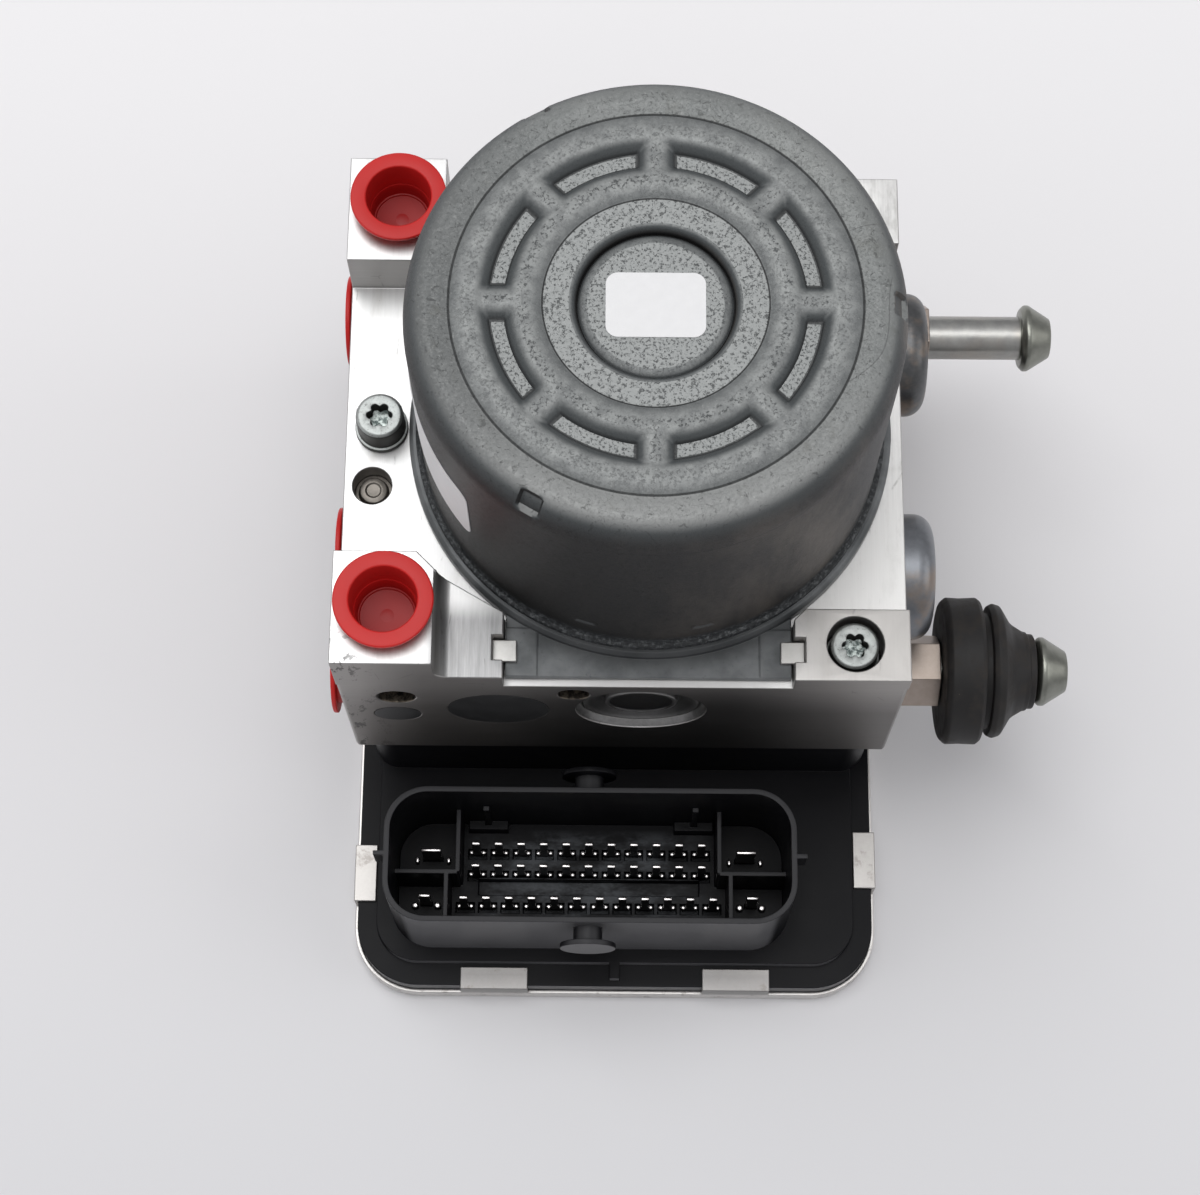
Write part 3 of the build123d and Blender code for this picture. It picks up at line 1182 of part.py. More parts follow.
def coil_cans():
    """The steel yoke round each coil: an open cup with a hole for the valve's dome."""
    top = PLATEAU_TOP + COIL_HEIGHT
    bore = VALVE_DOME_R + COIL_BORE_GAP
    yoke = upright(COIL_R, PLATEAU_TOP, top)
    yoke -= upright(COIL_R - COIL_SHEET, PLATEAU_TOP, top - COIL_SHEET)
    yoke -= upright(bore, top - COIL_SHEET, top)
    return Compound([Pos(x, y, 0) * yoke for x, y in valve_places()])


def coil_windings():
    """The wound bobbin inside each yoke."""
    top = PLATEAU_TOP + COIL_HEIGHT - COIL_SHEET
    bore = VALVE_DOME_R + COIL_BORE_GAP
    outer = COIL_R - COIL_SHEET - FIT
    waist_base = PLATEAU_TOP + BOBBIN_FLANGE
    waist_top = top - BOBBIN_FLANGE
    bobbin = upright(outer, PLATEAU_TOP, top) - upright(bore, PLATEAU_TOP, top)
    bobbin -= upright(outer, waist_base, waist_top) - upright(outer - BOBBIN_WAIST, waist_base, waist_top)
    return Compound([Pos(x, y, 0) * bobbin for x, y in valve_places()])


def valve_cartridges():
    """The valves pressed into the block, with their closed domes reaching into the coils."""
    head = BLOCK_BASE + VALVE_DEPTH
    seat = head - VALVE_SEAT_LENGTH
    dome = BLOCK_BASE - VALVE_DOME_LENGTH
    points = [(0, dome), (VALVE_DOME_R - VALVE_DOME_BEVEL, dome), (VALVE_DOME_R, dome + VALVE_DOME_BEVEL)]
    points += [(VALVE_DOME_R, BLOCK_BASE), (VALVE_BODY_R, BLOCK_BASE)]
    points += [(VALVE_BODY_R, seat - VALVE_SEAT_BEVEL), (VALVE_SEAT_R, seat), (VALVE_SEAT_R, head)]
    points += [(0, head)]
    valve = turned(points)
    return Compound([Pos(x, y, 0) * valve for x, y in valve_places()])


def pressure_sensor():
    """The pressure sensor in the block's underside."""
    sensor = upright(SENSOR_R, BLOCK_BASE, BLOCK_BASE + VALVE_DEPTH, *SENSOR)
    return sensor + upright(SENSOR_R - SENSOR_NECK, BLOCK_BASE - SENSOR_LENGTH, BLOCK_BASE, *SENSOR)


# ---- writing the pieces ----

def named_pieces():
    """Every piece by its node's name."""
    damper, flush = face_plugs()
    front_cap, back_cap = [Pos(x, y, top) * port_cap(TOP_CAP_STAND) for x, y, top in TOP_PORTS]
    side_cap = Rot(Y=-90) * port_cap(SIDE_CAP_STAND)
    side_caps = [Pos(LEFT, y, SIDE_PORT_Z) * side_cap for y in SIDE_PORT_YS]
    pieces = {
        "valve_block": valve_block(),
        "ecu_housing": ecu_housing(),
        "ecu_cover": ecu_cover(),
        "ecu_seal": seal_loop(FIT),
        "circuit_board": circuit_board(),
        "board_parts": board_parts(),
        "signal_pins": signal_pins(),
        "power_blades": power_blades(),
        "coil_cans": coil_cans(),
        "coil_windings": coil_windings(),
        "valve_cartridges": valve_cartridges(),
        "pressure_sensor": pressure_sensor(),
        "housing_screws": Compound([housing_screw(place, seat) for place, seat in SCREWS]),
        "damper_plug": damper,
        "flush_plug": flush,
        "sealing_balls": sealing_balls(),
        "bleed_plug": bleed_plug(),
        "front_top_cap": front_cap,
        "back_top_cap": back_cap,
        "front_side_cap": side_caps[0],
        "middle_side_cap": side_caps[1],
        "back_side_cap": side_caps[2],
        "mount_grommet": mount_grommet(),
        "motor_plate": motor_plate(),
        "motor_clamps": motor_clamps(),
        "motor_can": motor_can(),
        "top_sticker": top_sticker(),
        "side_sticker": side_sticker(),
        "field_magnets": field_magnets(),
        "armature_core": armature_core(),
        "armature_windings": armature_windings(),
        "commutator": commutator(),
        "motor_shaft": motor_shaft(),
        "eccentric": eccentric(),
        "top_bush": top_bush(),
        "bearing_inner_ring": bearing_ring(SHAFT_R + FIT, SHAFT_R + BEARING_RACE),
        "bearing_outer_ring": bearing_ring(BEARING_R - BEARING_RACE, BEARING_R),
        "bearing_balls": bearing_balls(),
        "brush_holder": brush_holder(),
    }
    for name, side in (("front", -1), ("back", 1)):
        pieces[f"{name}_pump_plug"] = pump_plug(side)
        pieces[f"{name}_pump_sleeve"] = pump_sleeve(side)
        pieces[f"{name}_piston"] = pump_piston(side)
        pieces[f"{name}_piston_spring"] = piston_spring(side)
    for name, dome_y, stud_y in zip(("front", "back"), ACCUMULATOR_YS, STUD_YS):
        pieces[f"{name}_accumulator_dome"] = accumulator_dome(dome_y)
        pieces[f"{name}_accumulator_piston"] = accumulator_piston(dome_y)
        pieces[f"{name}_accumulator_spring"] = accumulator_spring(dome_y)
        pieces[f"{name}_stud"] = mounting_stud(stud_y)
    for name, angle in (("right", 0), ("left", 180)):
        pieces[f"{name}_brush"] = brush(angle)
        pieces[f"{name}_brush_spring"] = brush_spring(angle)
    return pieces


os.makedirs("parts", exist_ok=True)
for node, shape in named_pieces().items():
    export_step(shape, f"parts/{node}.step")
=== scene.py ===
import json
import math
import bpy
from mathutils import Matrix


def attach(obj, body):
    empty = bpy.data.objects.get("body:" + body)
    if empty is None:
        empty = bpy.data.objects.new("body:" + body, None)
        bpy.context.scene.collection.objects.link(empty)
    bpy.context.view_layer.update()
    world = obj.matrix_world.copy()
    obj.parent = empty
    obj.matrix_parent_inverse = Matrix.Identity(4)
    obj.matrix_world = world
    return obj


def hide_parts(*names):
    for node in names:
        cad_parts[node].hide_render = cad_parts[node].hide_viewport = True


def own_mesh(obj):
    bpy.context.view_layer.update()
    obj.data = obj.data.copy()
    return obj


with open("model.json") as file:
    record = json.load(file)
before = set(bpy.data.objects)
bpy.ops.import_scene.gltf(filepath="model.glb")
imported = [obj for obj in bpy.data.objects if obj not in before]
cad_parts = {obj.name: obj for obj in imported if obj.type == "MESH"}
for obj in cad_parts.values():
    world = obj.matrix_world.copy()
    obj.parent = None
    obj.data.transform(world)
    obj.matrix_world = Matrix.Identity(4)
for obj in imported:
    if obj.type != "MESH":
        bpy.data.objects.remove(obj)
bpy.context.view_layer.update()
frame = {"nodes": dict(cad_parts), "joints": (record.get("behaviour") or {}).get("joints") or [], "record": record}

from types import SimpleNamespace

import bmesh
import bpy
import numpy as np
from mathutils import Matrix, Vector

scene = bpy.context.scene
MM = 0.001

# ---- the camera: the photograph's place, direction and lens ----

CAMERA_PLACE = (-0.00720097, -0.17421525, 0.50638489)
CAMERA_RIGHT = (0.999959, 0.0090168, -0.00045005)
CAMERA_UP = (-0.0084218, 0.9496154, 0.3133044)
CAMERA_VIEW = (-0.0032524, 0.3132879, -0.9496526)
LENS = 77.578
SENSOR = 36.0


def make_camera():
    data = bpy.data.cameras.new("camera")
    data.lens = LENS
    data.sensor_width = SENSOR
    data.sensor_fit = "HORIZONTAL"
    camera = bpy.data.objects.new("camera", data)
    scene.collection.objects.link(camera)
    turn = Matrix((CAMERA_RIGHT, CAMERA_UP, -Vector(CAMERA_VIEW))).transposed()
    camera.matrix_world = Matrix.Translation(CAMERA_PLACE) @ turn.to_4x4()
    scene.camera = camera


# ---- light, world and floor ----

# name, place, point aimed at, size, power, colour
LAMPS = (
    ("softbox", (-0.22, 0.22, 1.25), (-0.1, 0.1, 0.05), (0.7, 1.25), 8.4, (1.0, 1.0, 1.0)),
    ("left_fill", (-1.1, -0.2, 0.55), (0, 0, 0.06), (0.8, 0.8), 1.2, (1.0, 0.99, 0.98)),
    ("right_fill", (1.1, -0.1, 0.7), (0, 0, 0.06), (0.8, 0.8), 2.4, (1.0, 0.99, 0.98)),
)
WORLD_TONES = ((0.0, (0.42, 0.42, 0.43)), (0.85, (0.8, 0.8, 0.82)))
WORLD_STRENGTH = 0.76
FLOOR_HALF = 9.0
FLOOR_FRONT, FLOOR_BACK = -0.16, 0.22
# the floor's tones from front to back, darker in front by painted shade
FLOOR_TONES = ((0.0, (0.67, 0.67, 0.685)), (0.5, (0.79, 0.78, 0.79)), (1.0, (0.87, 0.865, 0.87)))


def area_light(name, place, aim, size, power, colour):
    data = bpy.data.lights.new(name, "AREA")
    data.shape = "RECTANGLE"
    data.size, data.size_y = size
    data.energy = power
    data.color = colour
    light = bpy.data.objects.new(name, data)
    light.location = place
    light.rotation_euler = (Vector(aim) - Vector(place)).to_track_quat("-Z", "Y").to_euler()
    scene.collection.objects.link(light)


def make_light():
    """The lamps, and a world that is darker below than above."""
    for lamp in LAMPS:
        area_light(*lamp)
    world = bpy.data.worlds.new("studio")
    scene.world = world
    world.use_nodes = True
    tree = world.node_tree
    tree.nodes.clear()
    out = tree.nodes.new("ShaderNodeOutputWorld")
    back = tree.nodes.new("ShaderNodeBackground")
    coord = tree.nodes.new("ShaderNodeTexCoord")
    split = tree.nodes.new("ShaderNodeSeparateXYZ")
    ramp = tree.nodes.new("ShaderNodeValToRGB")
    for element, (place, colour) in zip(ramp.color_ramp.elements, WORLD_TONES):
        element.position = place
        element.color = (*colour, 1)
    back.inputs["Strength"].default_value = WORLD_STRENGTH
    tree.links.new(coord.outputs["Generated"], split.inputs[0])
    tree.links.new(split.outputs["Z"], ramp.inputs[0])
    tree.links.new(ramp.outputs[0], back.inputs["Color"])
    tree.links.new(back.outputs[0], out.inputs[0])


def make_floor():
    """A wide pale floor, a little darker towards the front by painted shade."""
    mesh = bpy.data.meshes.new("floor")
    corners = ((-1, -1), (1, -1), (1, 1), (-1, 1))
    mesh.from_pydata([(FLOOR_HALF * x, FLOOR_HALF * y, 0) for x, y in corners], [], [(0, 1, 2, 3)])
    floor = bpy.data.objects.new("floor", mesh)
    scene.collection.objects.link(floor)
    paint = Paint("floor_paint", specular=0.2, roughness=0.75)
    paint.colour(paint.ramp(paint.axis("Y", FLOOR_FRONT, FLOOR_BACK), FLOOR_TONES))
    floor.data.materials.append(paint.material)


# ---- materials ----

class Paint:
    """A material under construction: its shader, and short calls for the nodes that feed it.

    Places, radii and depths are in metres in the part's frame, and a noise's scale is per metre.
    Two limits say where a mask is 0 and where it is 1, in that order.
    """

    def __init__(self, name, metallic=0.0, specular=0.5, roughness=0.5):
        self.material = bpy.data.materials.new(name)
        self.material.use_nodes = True
        self.tree = self.material.node_tree
        self.shader = self.tree.nodes["Principled BSDF"]
        self.shader.inputs["Roughness"].default_value = roughness
        self.shader.inputs["Metallic"].default_value = metallic
        self.shader.inputs["Specular IOR Level"].default_value = specular
        self.coord = self.node("ShaderNodeTexCoord").outputs["Object"]

    def node(self, kind, inputs=None, **settings):
        """Adds a node, with values or links for its inputs."""
        made = self.tree.nodes.new(kind)
        for key, value in settings.items():
            setattr(made, key, value)
        for key, source in (inputs or {}).items():
            self.link(source, made.inputs[key])
        return made

    def link(self, source, socket):
        if isinstance(source, (int, float)):
            socket.default_value = source
        elif isinstance(source, tuple):
            socket.default_value = (*source, 1) if len(source) == 3 else source
        else:
            self.tree.links.new(source, socket)

    def vector(self, stretch):
        """Object coordinates, times a scale for each axis if there is a stretch."""
        if not stretch:
            return self.coord
        mapping = self.node("ShaderNodeMapping", {"Vector": self.coord})
        mapping.inputs["Scale"].default_value = stretch
        return mapping.outputs[0]

    def noise(self, scale, detail, roughness=0.55, distortion=0.0, stretch=None):
        return self.node("ShaderNodeTexNoise", {
            "Scale": scale, "Detail": detail, "Roughness": roughness, "Distortion": distortion,
            "Vector": self.vector(stretch)}).outputs["Fac"]

    def cracks(self, stretch):
        """Distance from the borders between cells, whose density per metre is stretch."""
        return self.node("ShaderNodeTexVoronoi", {"Scale": 1, "Vector": self.vector(stretch)},
                         feature="DISTANCE_TO_EDGE").outputs["Distance"]

    def math(self, kind, a, b=0.0, clamp=False):
        return self.node("ShaderNodeMath", {0: a, 1: b}, operation=kind, use_clamp=clamp).outputs[0]

    def either(self, a, b):
        """1 where one of two masks is 1."""
        return self.math("ADD", a, b, clamp=True)

    def without(self, mask):
        return self.math("SUBTRACT", 1.0, mask)

    def times(self, first, *others):
        """The product of some masks and numbers."""
        for other in others:
            first = self.math("MULTIPLY", first, other)
        return first

    def between(self, value, low, high, smooth=True):
        """0 at low and 1 at high."""
        return self.node("ShaderNodeMapRange", {"Value": value, "From Min": low, "From Max": high},
                         interpolation_type="SMOOTHSTEP" if smooth else "LINEAR").outputs["Result"]

    def spread(self, value, low, high):
        """A 0 to 1 value turned into low to high."""
        return self.node("ShaderNodeMapRange", {"Value": value, "To Min": low,
                                                "To Max": high}).outputs["Result"]

    def part(self, vector, name):
        """The X, Y or Z of a vector."""
        return self.node("ShaderNodeSeparateXYZ", {0: vector}).outputs[name]

    def place(self, name):
        return self.part(self.coord, name)

    def axis(self, name, low, high):
        """A coordinate of the surface, 0 at low and 1 at high."""
        return self.between(self.place(name), low, high, smooth=False)

    def facing(self, name, low, high):
        """How far the surface faces along an axis of the part's frame, 0 at low and 1 at high."""
        return self.between(self.part(self.node("ShaderNodeNewGeometry").outputs["Normal"], name), low, high)

    def off(self, value, centre):
        return self.math("ABSOLUTE", self.math("SUBTRACT", value, centre))

    def away(self, **centre):
        """Distance from a line through two given coordinates, parallel to the third axis."""
        squares = [self.math("POWER", self.off(self.place(name), at), 2.0) for name, at in centre.items()]
        return self.math("SQRT", self.math("ADD", *squares))

    def line(self, value, centre, width):
        """1 at a value's centre, 0 further than width from it."""
        return self.between(self.off(value, centre), width, width * 0.4)

    def mix(self, share, a, b):
        return self.node("ShaderNodeMix", {0: share, 6: a, 7: b}, data_type="RGBA").outputs[2]

    def over(self, tone, colour, *masks):
        """A tone with a colour laid over it, as far as all the masks let it."""
        return self.mix(self.times(*masks), tone, colour)

    def specked(self, tone, colour, share, low, high, scale=1900):
        """A tone with fine specks: fewer of them for higher limits."""
        return self.over(tone, colour, self.between(self.noise(scale, 5, 0.8), low, high), share)

    def ramp(self, value, stops):
        made = self.node("ShaderNodeValToRGB")
        elements = made.color_ramp.elements
        while len(elements) < len(stops):
            elements.new(0.5)
        for element, (place, colour) in zip(elements, stops):
            element.position = place
            element.color = (*colour, 1)
        self.link(value, made.inputs[0])
        return made.outputs[0]

    def colour(self, source):
        self.link(source, self.shader.inputs["Base Color"])

    def rough(self, source):
        self.link(source, self.shader.inputs["Roughness"])

    def bump(self, height, depth, strength):
        """Adds relief: depth is the height's full range."""
        made = self.node("ShaderNodeBump", {"Strength": strength, "Distance": depth, "Height": height})
        socket = self.shader.inputs["Normal"]
        if socket.links:
            self.tree.links.new(socket.links[0].from_socket, made.inputs["Normal"])
        self.tree.links.new(made.outputs[0], socket)

    def worn(self, tone, marks, roughness, depth=0.000012):
        """Finishes a metal whose marks show in its colour, its roughness and its relief."""
        self.colour(tone)
        self.rough(self.spread(marks, *roughness))
        self.bump(marks, depth, 0.5)
        return self.material

    def moulded(self, tone, cloud, roughness):
        """Finishes a plastic that is softly clouded and finely grained."""
        self.colour(tone)
        self.rough(self.spread(cloud, *roughness))
        self.bump(self.noise(2200, 3), 0.00001, 0.35)
        return self.material


DIRT = (0.07, 0.065, 0.06)
# dark tones: painted shade in the can's creases and groove, and a dark line round its wall
CREASE_SHADE = (0.014, 0.015, 0.015)
BLACK_LINE = (0.006, 0.006, 0.006)


def can_paint():
    """Grey phosphated sheet: peppered and paler where it lies flat, partly by painted light, and smooth where it
    slopes, with painted shade darkening the slopes.
    """
    p = Paint("can_phosphate", metallic=0.25, specular=0.35)
    radius = p.away(X=0.0, Y=0.0)
    cloud = p.noise(55, 4)
    fine = p.noise(1500, 5, 0.75)
    mottle = p.noise(330, 5, 0.7)
    pepper = p.between(p.noise(1900, 5, 0.75), 0.52, 0.6)
    flow = p.between(p.noise(900, 5, 0.72, distortion=0.8), 0.6, 0.635)
    level = p.facing("Z", 0.72, 0.997)
    flat = p.facing("Z", 0.99, 0.9985)

    # crests and their slopes: painted light on the level crests, painted shade on the slopes, darker still at the
    # foot of each slope
    slopes = p.mix(cloud, (0.068, 0.076, 0.08), (0.1, 0.107, 0.108))
    crests = p.mix(p.between(mottle, 0.34, 0.66), (0.19, 0.198, 0.197), (0.285, 0.295, 0.29))
    tone = p.mix(level, slopes, crests)
    root_shade = p.either(p.between(radius, 0.0305, 0.0332), p.between(radius, 0.0204, 0.0183))
    # painted shade at the foot of the slopes
    tone = p.over(tone, (0.07, 0.077, 0.08), root_shade, 0.4)

    # pale floors of the pockets, the ring and the button, paler partly by their finish and partly by painted light
    # where they face straight up, with painted shade in the corners round the pockets
    inside = p.without(p.between(radius, 0.0272, 0.0284))
    floors = p.either(p.axis("Z", 0.12905, 0.12875), p.between(radius, 0.0184, 0.0181))
    # paler where facing straight up: partly the finish, partly painted light
    tone = p.over(tone, p.mix(fine, (0.23, 0.242, 0.24), (0.42, 0.432, 0.425)), flat, inside, floors)
    pocket_ring = p.times(p.between(radius, 0.0228, 0.0238), p.between(radius, 0.0286, 0.0276))
    pocket_corner_shade = p.times(p.without(flat), p.axis("Z", 0.12905, 0.12862), pocket_ring)
    # painted shade where the pockets' walls meet their floors
    tone = p.over(tone, (0.016, 0.017, 0.018), pocket_corner_shade, 0.75)

    # the outer annulus: painted light in front, painted shade on the left, blotted
    annulus = p.between(radius, 0.03315, 0.0334)
    rim = p.mix(cloud, (0.16, 0.17, 0.168), (0.25, 0.258, 0.252))
    # painted light: paler towards the front
    rim = p.over(rim, (0.29, 0.295, 0.29), p.axis("Y", -0.01, -0.036), 0.75)
    # painted shade: darker towards the left
    rim = p.over(rim, (0.115, 0.12, 0.12), p.axis("X", -0.018, -0.036), 0.6)
    rim = p.over(rim, (0.115, 0.115, 0.1), p.between(p.noise(120, 5, 0.7), 0.52, 0.72), 0.5)
    rim = p.over(rim, (0.33, 0.335, 0.33), p.between(fine, 0.48, 0.75), 0.5)
    tone = p.over(tone, rim, annulus, p.facing("Z", 0.55, 0.95))

    # dark pepper, flow marks and bright glints
    bare = p.times(p.without(annulus), p.facing("Z", 0.965, 0.995))
    tone = p.over(tone, (0.05, 0.054, 0.055), pepper, bare, p.spread(inside, 0.45, 0.85))
    tone = p.over(tone, (0.045, 0.047, 0.046), flow, annulus, 0.4)
    glint = p.between(p.noise(2100, 4, 0.7), 0.6, 0.68)
    tone = p.over(tone, (0.42, 0.42, 0.41), glint, level, 0.35)

    # the wall: near black on the left by painted shade; rubbed and brownish on the right, and lighter there partly
    # by painted light
    wall = p.facing("Z", 0.75, 0.15)
    # painted shade: the wall's left near black
    left_wall_shade = p.mix(p.noise(30, 4), (0.005, 0.005, 0.005), (0.018, 0.017, 0.016))
    rubbed = p.between(p.noise(60, 5, 0.7, stretch=(1, 1, 0.35)), 0.4, 0.72)
    rubbed_and_lit_right = p.mix(rubbed, (0.032, 0.032, 0.033), (0.12, 0.106, 0.094))
    tone = p.mix(wall, tone, p.mix(p.axis("X", -0.022, 0.038), left_wall_shade, rubbed_and_lit_right))

    # painted shade in the creases round the annulus and the ring and in the button's groove, faint dark arcs on
    # the annulus, one dark line round the wall
    # painted shade along the creases and in the groove
    tone = p.over(tone, CREASE_SHADE, p.line(radius, 0.0332, 0.0003), 0.85)
    tone = p.over(tone, CREASE_SHADE, p.line(radius, 0.0182, 0.0002), 0.9)
    tone = p.over(tone, BLACK_LINE, p.line(radius, 0.0127, 0.00022), 0.95)
    arcs = p.line(p.noise(26, 1, 0.3), 0.47, 0.0016)
    tone = p.over(tone, (0.07, 0.072, 0.072), arcs, annulus, p.facing("Z", 0.8, 0.95), 0.5)
    tone = p.over(tone, BLACK_LINE, p.line(p.place("Z"), 0.1232, 0.00016), p.spread(wall, 0.4, 0.9))
    foot_tone = p.mix(p.between(fine, 0.45, 0.68), (0.022, 0.024, 0.026), (0.13, 0.138, 0.142))
    tone = p.mix(p.axis("Z", 0.08, 0.0782), tone, foot_tone)
    p.colour(tone)
    p.rough(p.spread(p.math("MAXIMUM", flat, fine), 0.4, 0.62))
    p.bump(pepper, 0.00005, 0.6)
    p.bump(p.times(flow, annulus), 0.00008, 0.7)
    p.bump(p.noise(2400, 4, 0.7), 0.00005, 0.6)
    p.bump(mottle, 0.0001, 0.5)
    return p.material


def block_top(p, lines):
    """Milled top: bright on the left, dull and stained on the right, with a striped shelf."""
    clean = p.mix(lines, (0.56, 0.56, 0.555), (0.72, 0.72, 0.715))
    smear = p.between(p.noise(60, 5, 0.65, distortion=1.2, stretch=(1.5, 0.7, 1.0)), 0.52, 0.7)
    clean = p.over(clean, (0.47, 0.46, 0.445), smear, 0.5)
    dull = p.mix(lines, (0.52, 0.515, 0.505), (0.79, 0.785, 0.77))
    stain = p.between(p.noise(150, 5, 0.7, stretch=(1.6, 0.6, 1.0)), 0.46, 0.7)
    dull = p.over(dull, (0.3, 0.295, 0.28), stain, 0.45)
    front_pad = p.times(p.axis("Z", 0.0745, 0.0755), p.axis("Y", -0.02, -0.024))
    dull = p.over(dull, (0.34, 0.325, 0.31), front_pad, 0.75)
    strip = p.times(p.axis("Z", 0.0755, 0.0745), p.axis("Y", -0.006, -0.022))
    dull = p.over(dull, (0.68, 0.675, 0.66), strip, 0.6)
    top = p.mix(p.axis("X", 0.01, 0.03), clean, dull)
    ledge = p.times(p.axis("Y", -0.0425, -0.0435), p.axis("X", -0.027, -0.022), p.axis("X", 0.024, 0.02))
    top = p.over(top, (0.52, 0.515, 0.51), ledge)
    shelf = p.times(p.between(p.axis("Y", 0.0, -0.05), 0.66, 0.76), p.axis("X", -0.0385, -0.037),
                    p.axis("X", -0.0245, -0.026))
    striped = p.mix(p.noise(1, 4, 0.7, stretch=(2200, 120, 60)), (0.17, 0.17, 0.172), (0.4, 0.4, 0.4))
    return p.mix(shelf, top, striped)


def block_sides(p, side_lines):
    """Dull extruded sides, and a front face that darkens towards its lower middle."""
    side = p.over((0.36, 0.35, 0.34), (0.6, 0.59, 0.58), side_lines, p.noise(70, 4))
    front = p.mix(p.axis("X", -0.05, 0.04), (0.24, 0.225, 0.215), (0.15, 0.142, 0.137))
    front = p.mix(p.axis("Z", 0.058, 0.073), front, (0.36, 0.342, 0.33))
    middle = p.between(p.off(p.place("X"), 0.002), 0.034, 0.01)
    front = p.over(front, (0.03, 0.029, 0.03), middle, p.spread(p.axis("Z", 0.073, 0.062), 0.45, 0.85))
    front = p.mix(p.spread(side_lines, 0.0, 0.22), front, (0.4, 0.39, 0.38))
    return p.over(side, front, p.facing("Y", -0.5, -0.9), p.axis("Y", -0.037, -0.041))


def block_paint():
    """Milled aluminium with rusty bores, scratches, and gouges at its front left corner."""
    p = Paint("block_milled", metallic=1.0)
    up = p.facing("Z", 0.5, 0.9)
    lines = p.noise(1, 4, 0.6, stretch=(2600, 60, 60))
    side_lines = p.noise(1, 4, 0.6, stretch=(60, 60, 2400))
    tone = p.mix(up, block_sides(p, side_lines), block_top(p, lines))
    rusty = p.mix(p.between(p.noise(420, 4, 0.7), 0.42, 0.62), (0.03, 0.027, 0.025), (0.17, 0.145, 0.115))
    tone = p.over(tone, rusty, p.facing("Z", 0.15, 0.5), p.axis("Z", 0.0724, 0.0718),
                  p.axis("Z", 0.061, 0.062))
    tone = p.over(tone, (0.16, 0.15, 0.14), p.between(p.noise(1700, 4, 0.8), 0.66, 0.74), 0.5)
    scratch = p.times(p.between(p.cracks((170, 40, 90)), 0.02, 0.004),
                      p.between(p.noise(240, 3), 0.56, 0.66))
    tone = p.over(tone, (0.12, 0.115, 0.11), scratch, 0.35)
    gouge = p.between(p.noise(330, 5, 0.75, stretch=(1.0, 1.0, 0.45)), 0.565, 0.6)
    tone = p.over(tone, (0.035, 0.033, 0.032), gouge, p.axis("X", -0.046, -0.0525),
                  p.axis("Y", -0.04, -0.046), 0.8)
    p.colour(tone)
    p.rough(p.mix(up, p.spread(side_lines, 0.34, 0.55), p.spread(lines, 0.34, 0.5)))
    p.bump(lines, 0.000012, 0.6)
    p.bump(side_lines, 0.00001, 0.5)
    p.bump(scratch, 0.00003, 0.5)
    return p.material


def housing_paint():
    """Black satin plastic: greyer where it faces out, with a painted highlight along the shroud's rim and a rubbed
    grey haze between the contacts.
    """
    p = Paint("housing_black", specular=0.11)
    cloud = p.noise(110, 4)
    tone = p.mix(cloud, (0.003, 0.003, 0.004), (0.0065, 0.0065, 0.008))
    outside = p.mix(cloud, (0.072, 0.072, 0.076), (0.11, 0.11, 0.115))
    tone = p.over(tone, outside, p.facing("Y", -0.6, -0.9), p.axis("Y", -0.0803, -0.0812))
    # painted highlight along the shroud's rim
    tone = p.over(tone, (0.055, 0.055, 0.058), p.facing("Z", 0.5, 0.9), p.axis("Z", 0.015, 0.016),
                  p.axis("Y", -0.053, -0.0545), 0.7)
    low = p.times(p.facing("Z", 0.7, 0.95), p.axis("Z", 0.0125, 0.0115))
    across = p.times(p.axis("X", -0.036, -0.024), p.axis("X", 0.014, 0.002))
    along = p.times(p.axis("Y", -0.0772, -0.0752), p.axis("Y", -0.0585, -0.061))
    patch = p.between(p.noise(190, 5, 0.7, stretch=(0.6, 1.2, 1.0)), 0.4, 0.66)
    grain = p.spread(p.noise(2300, 4, 0.8), 0.35, 1.0)
    tone = p.over(tone, (0.22, 0.235, 0.255), low, across, along, patch, grain, 0.55)
    tone = p.specked(tone, (0.3, 0.3, 0.29), 0.25, 0.71, 0.76, 2300)
    return p.moulded(tone, cloud, (0.3, 0.48))


def contact_paint():
    """Tinned contacts: bright on their tips and shoulders by painted highlight, dark down their sides by painted
    shade.
    """
    p = Paint("contact_tin", metallic=1.0)
    marks = p.noise(900, 4)
    dull = p.mix(marks, (0.02, 0.02, 0.021), (0.06, 0.06, 0.06))
    bright = p.mix(marks, (0.8, 0.76, 0.75), (0.95, 0.92, 0.91))
    # painted highlight where a contact faces up, painted shade on its sides
    p.colour(p.mix(p.facing("Z", 0.25, 0.75), dull, bright))
    p.rough(p.spread(marks, 0.2, 0.4))
    return p.material


# centre and top of each screw's head, in mm
SCREW_HEADS = ((-48.2, 0.3, 79.9), (35.7, -41.1, 77.4), (35.7, 41.8, 77.4))


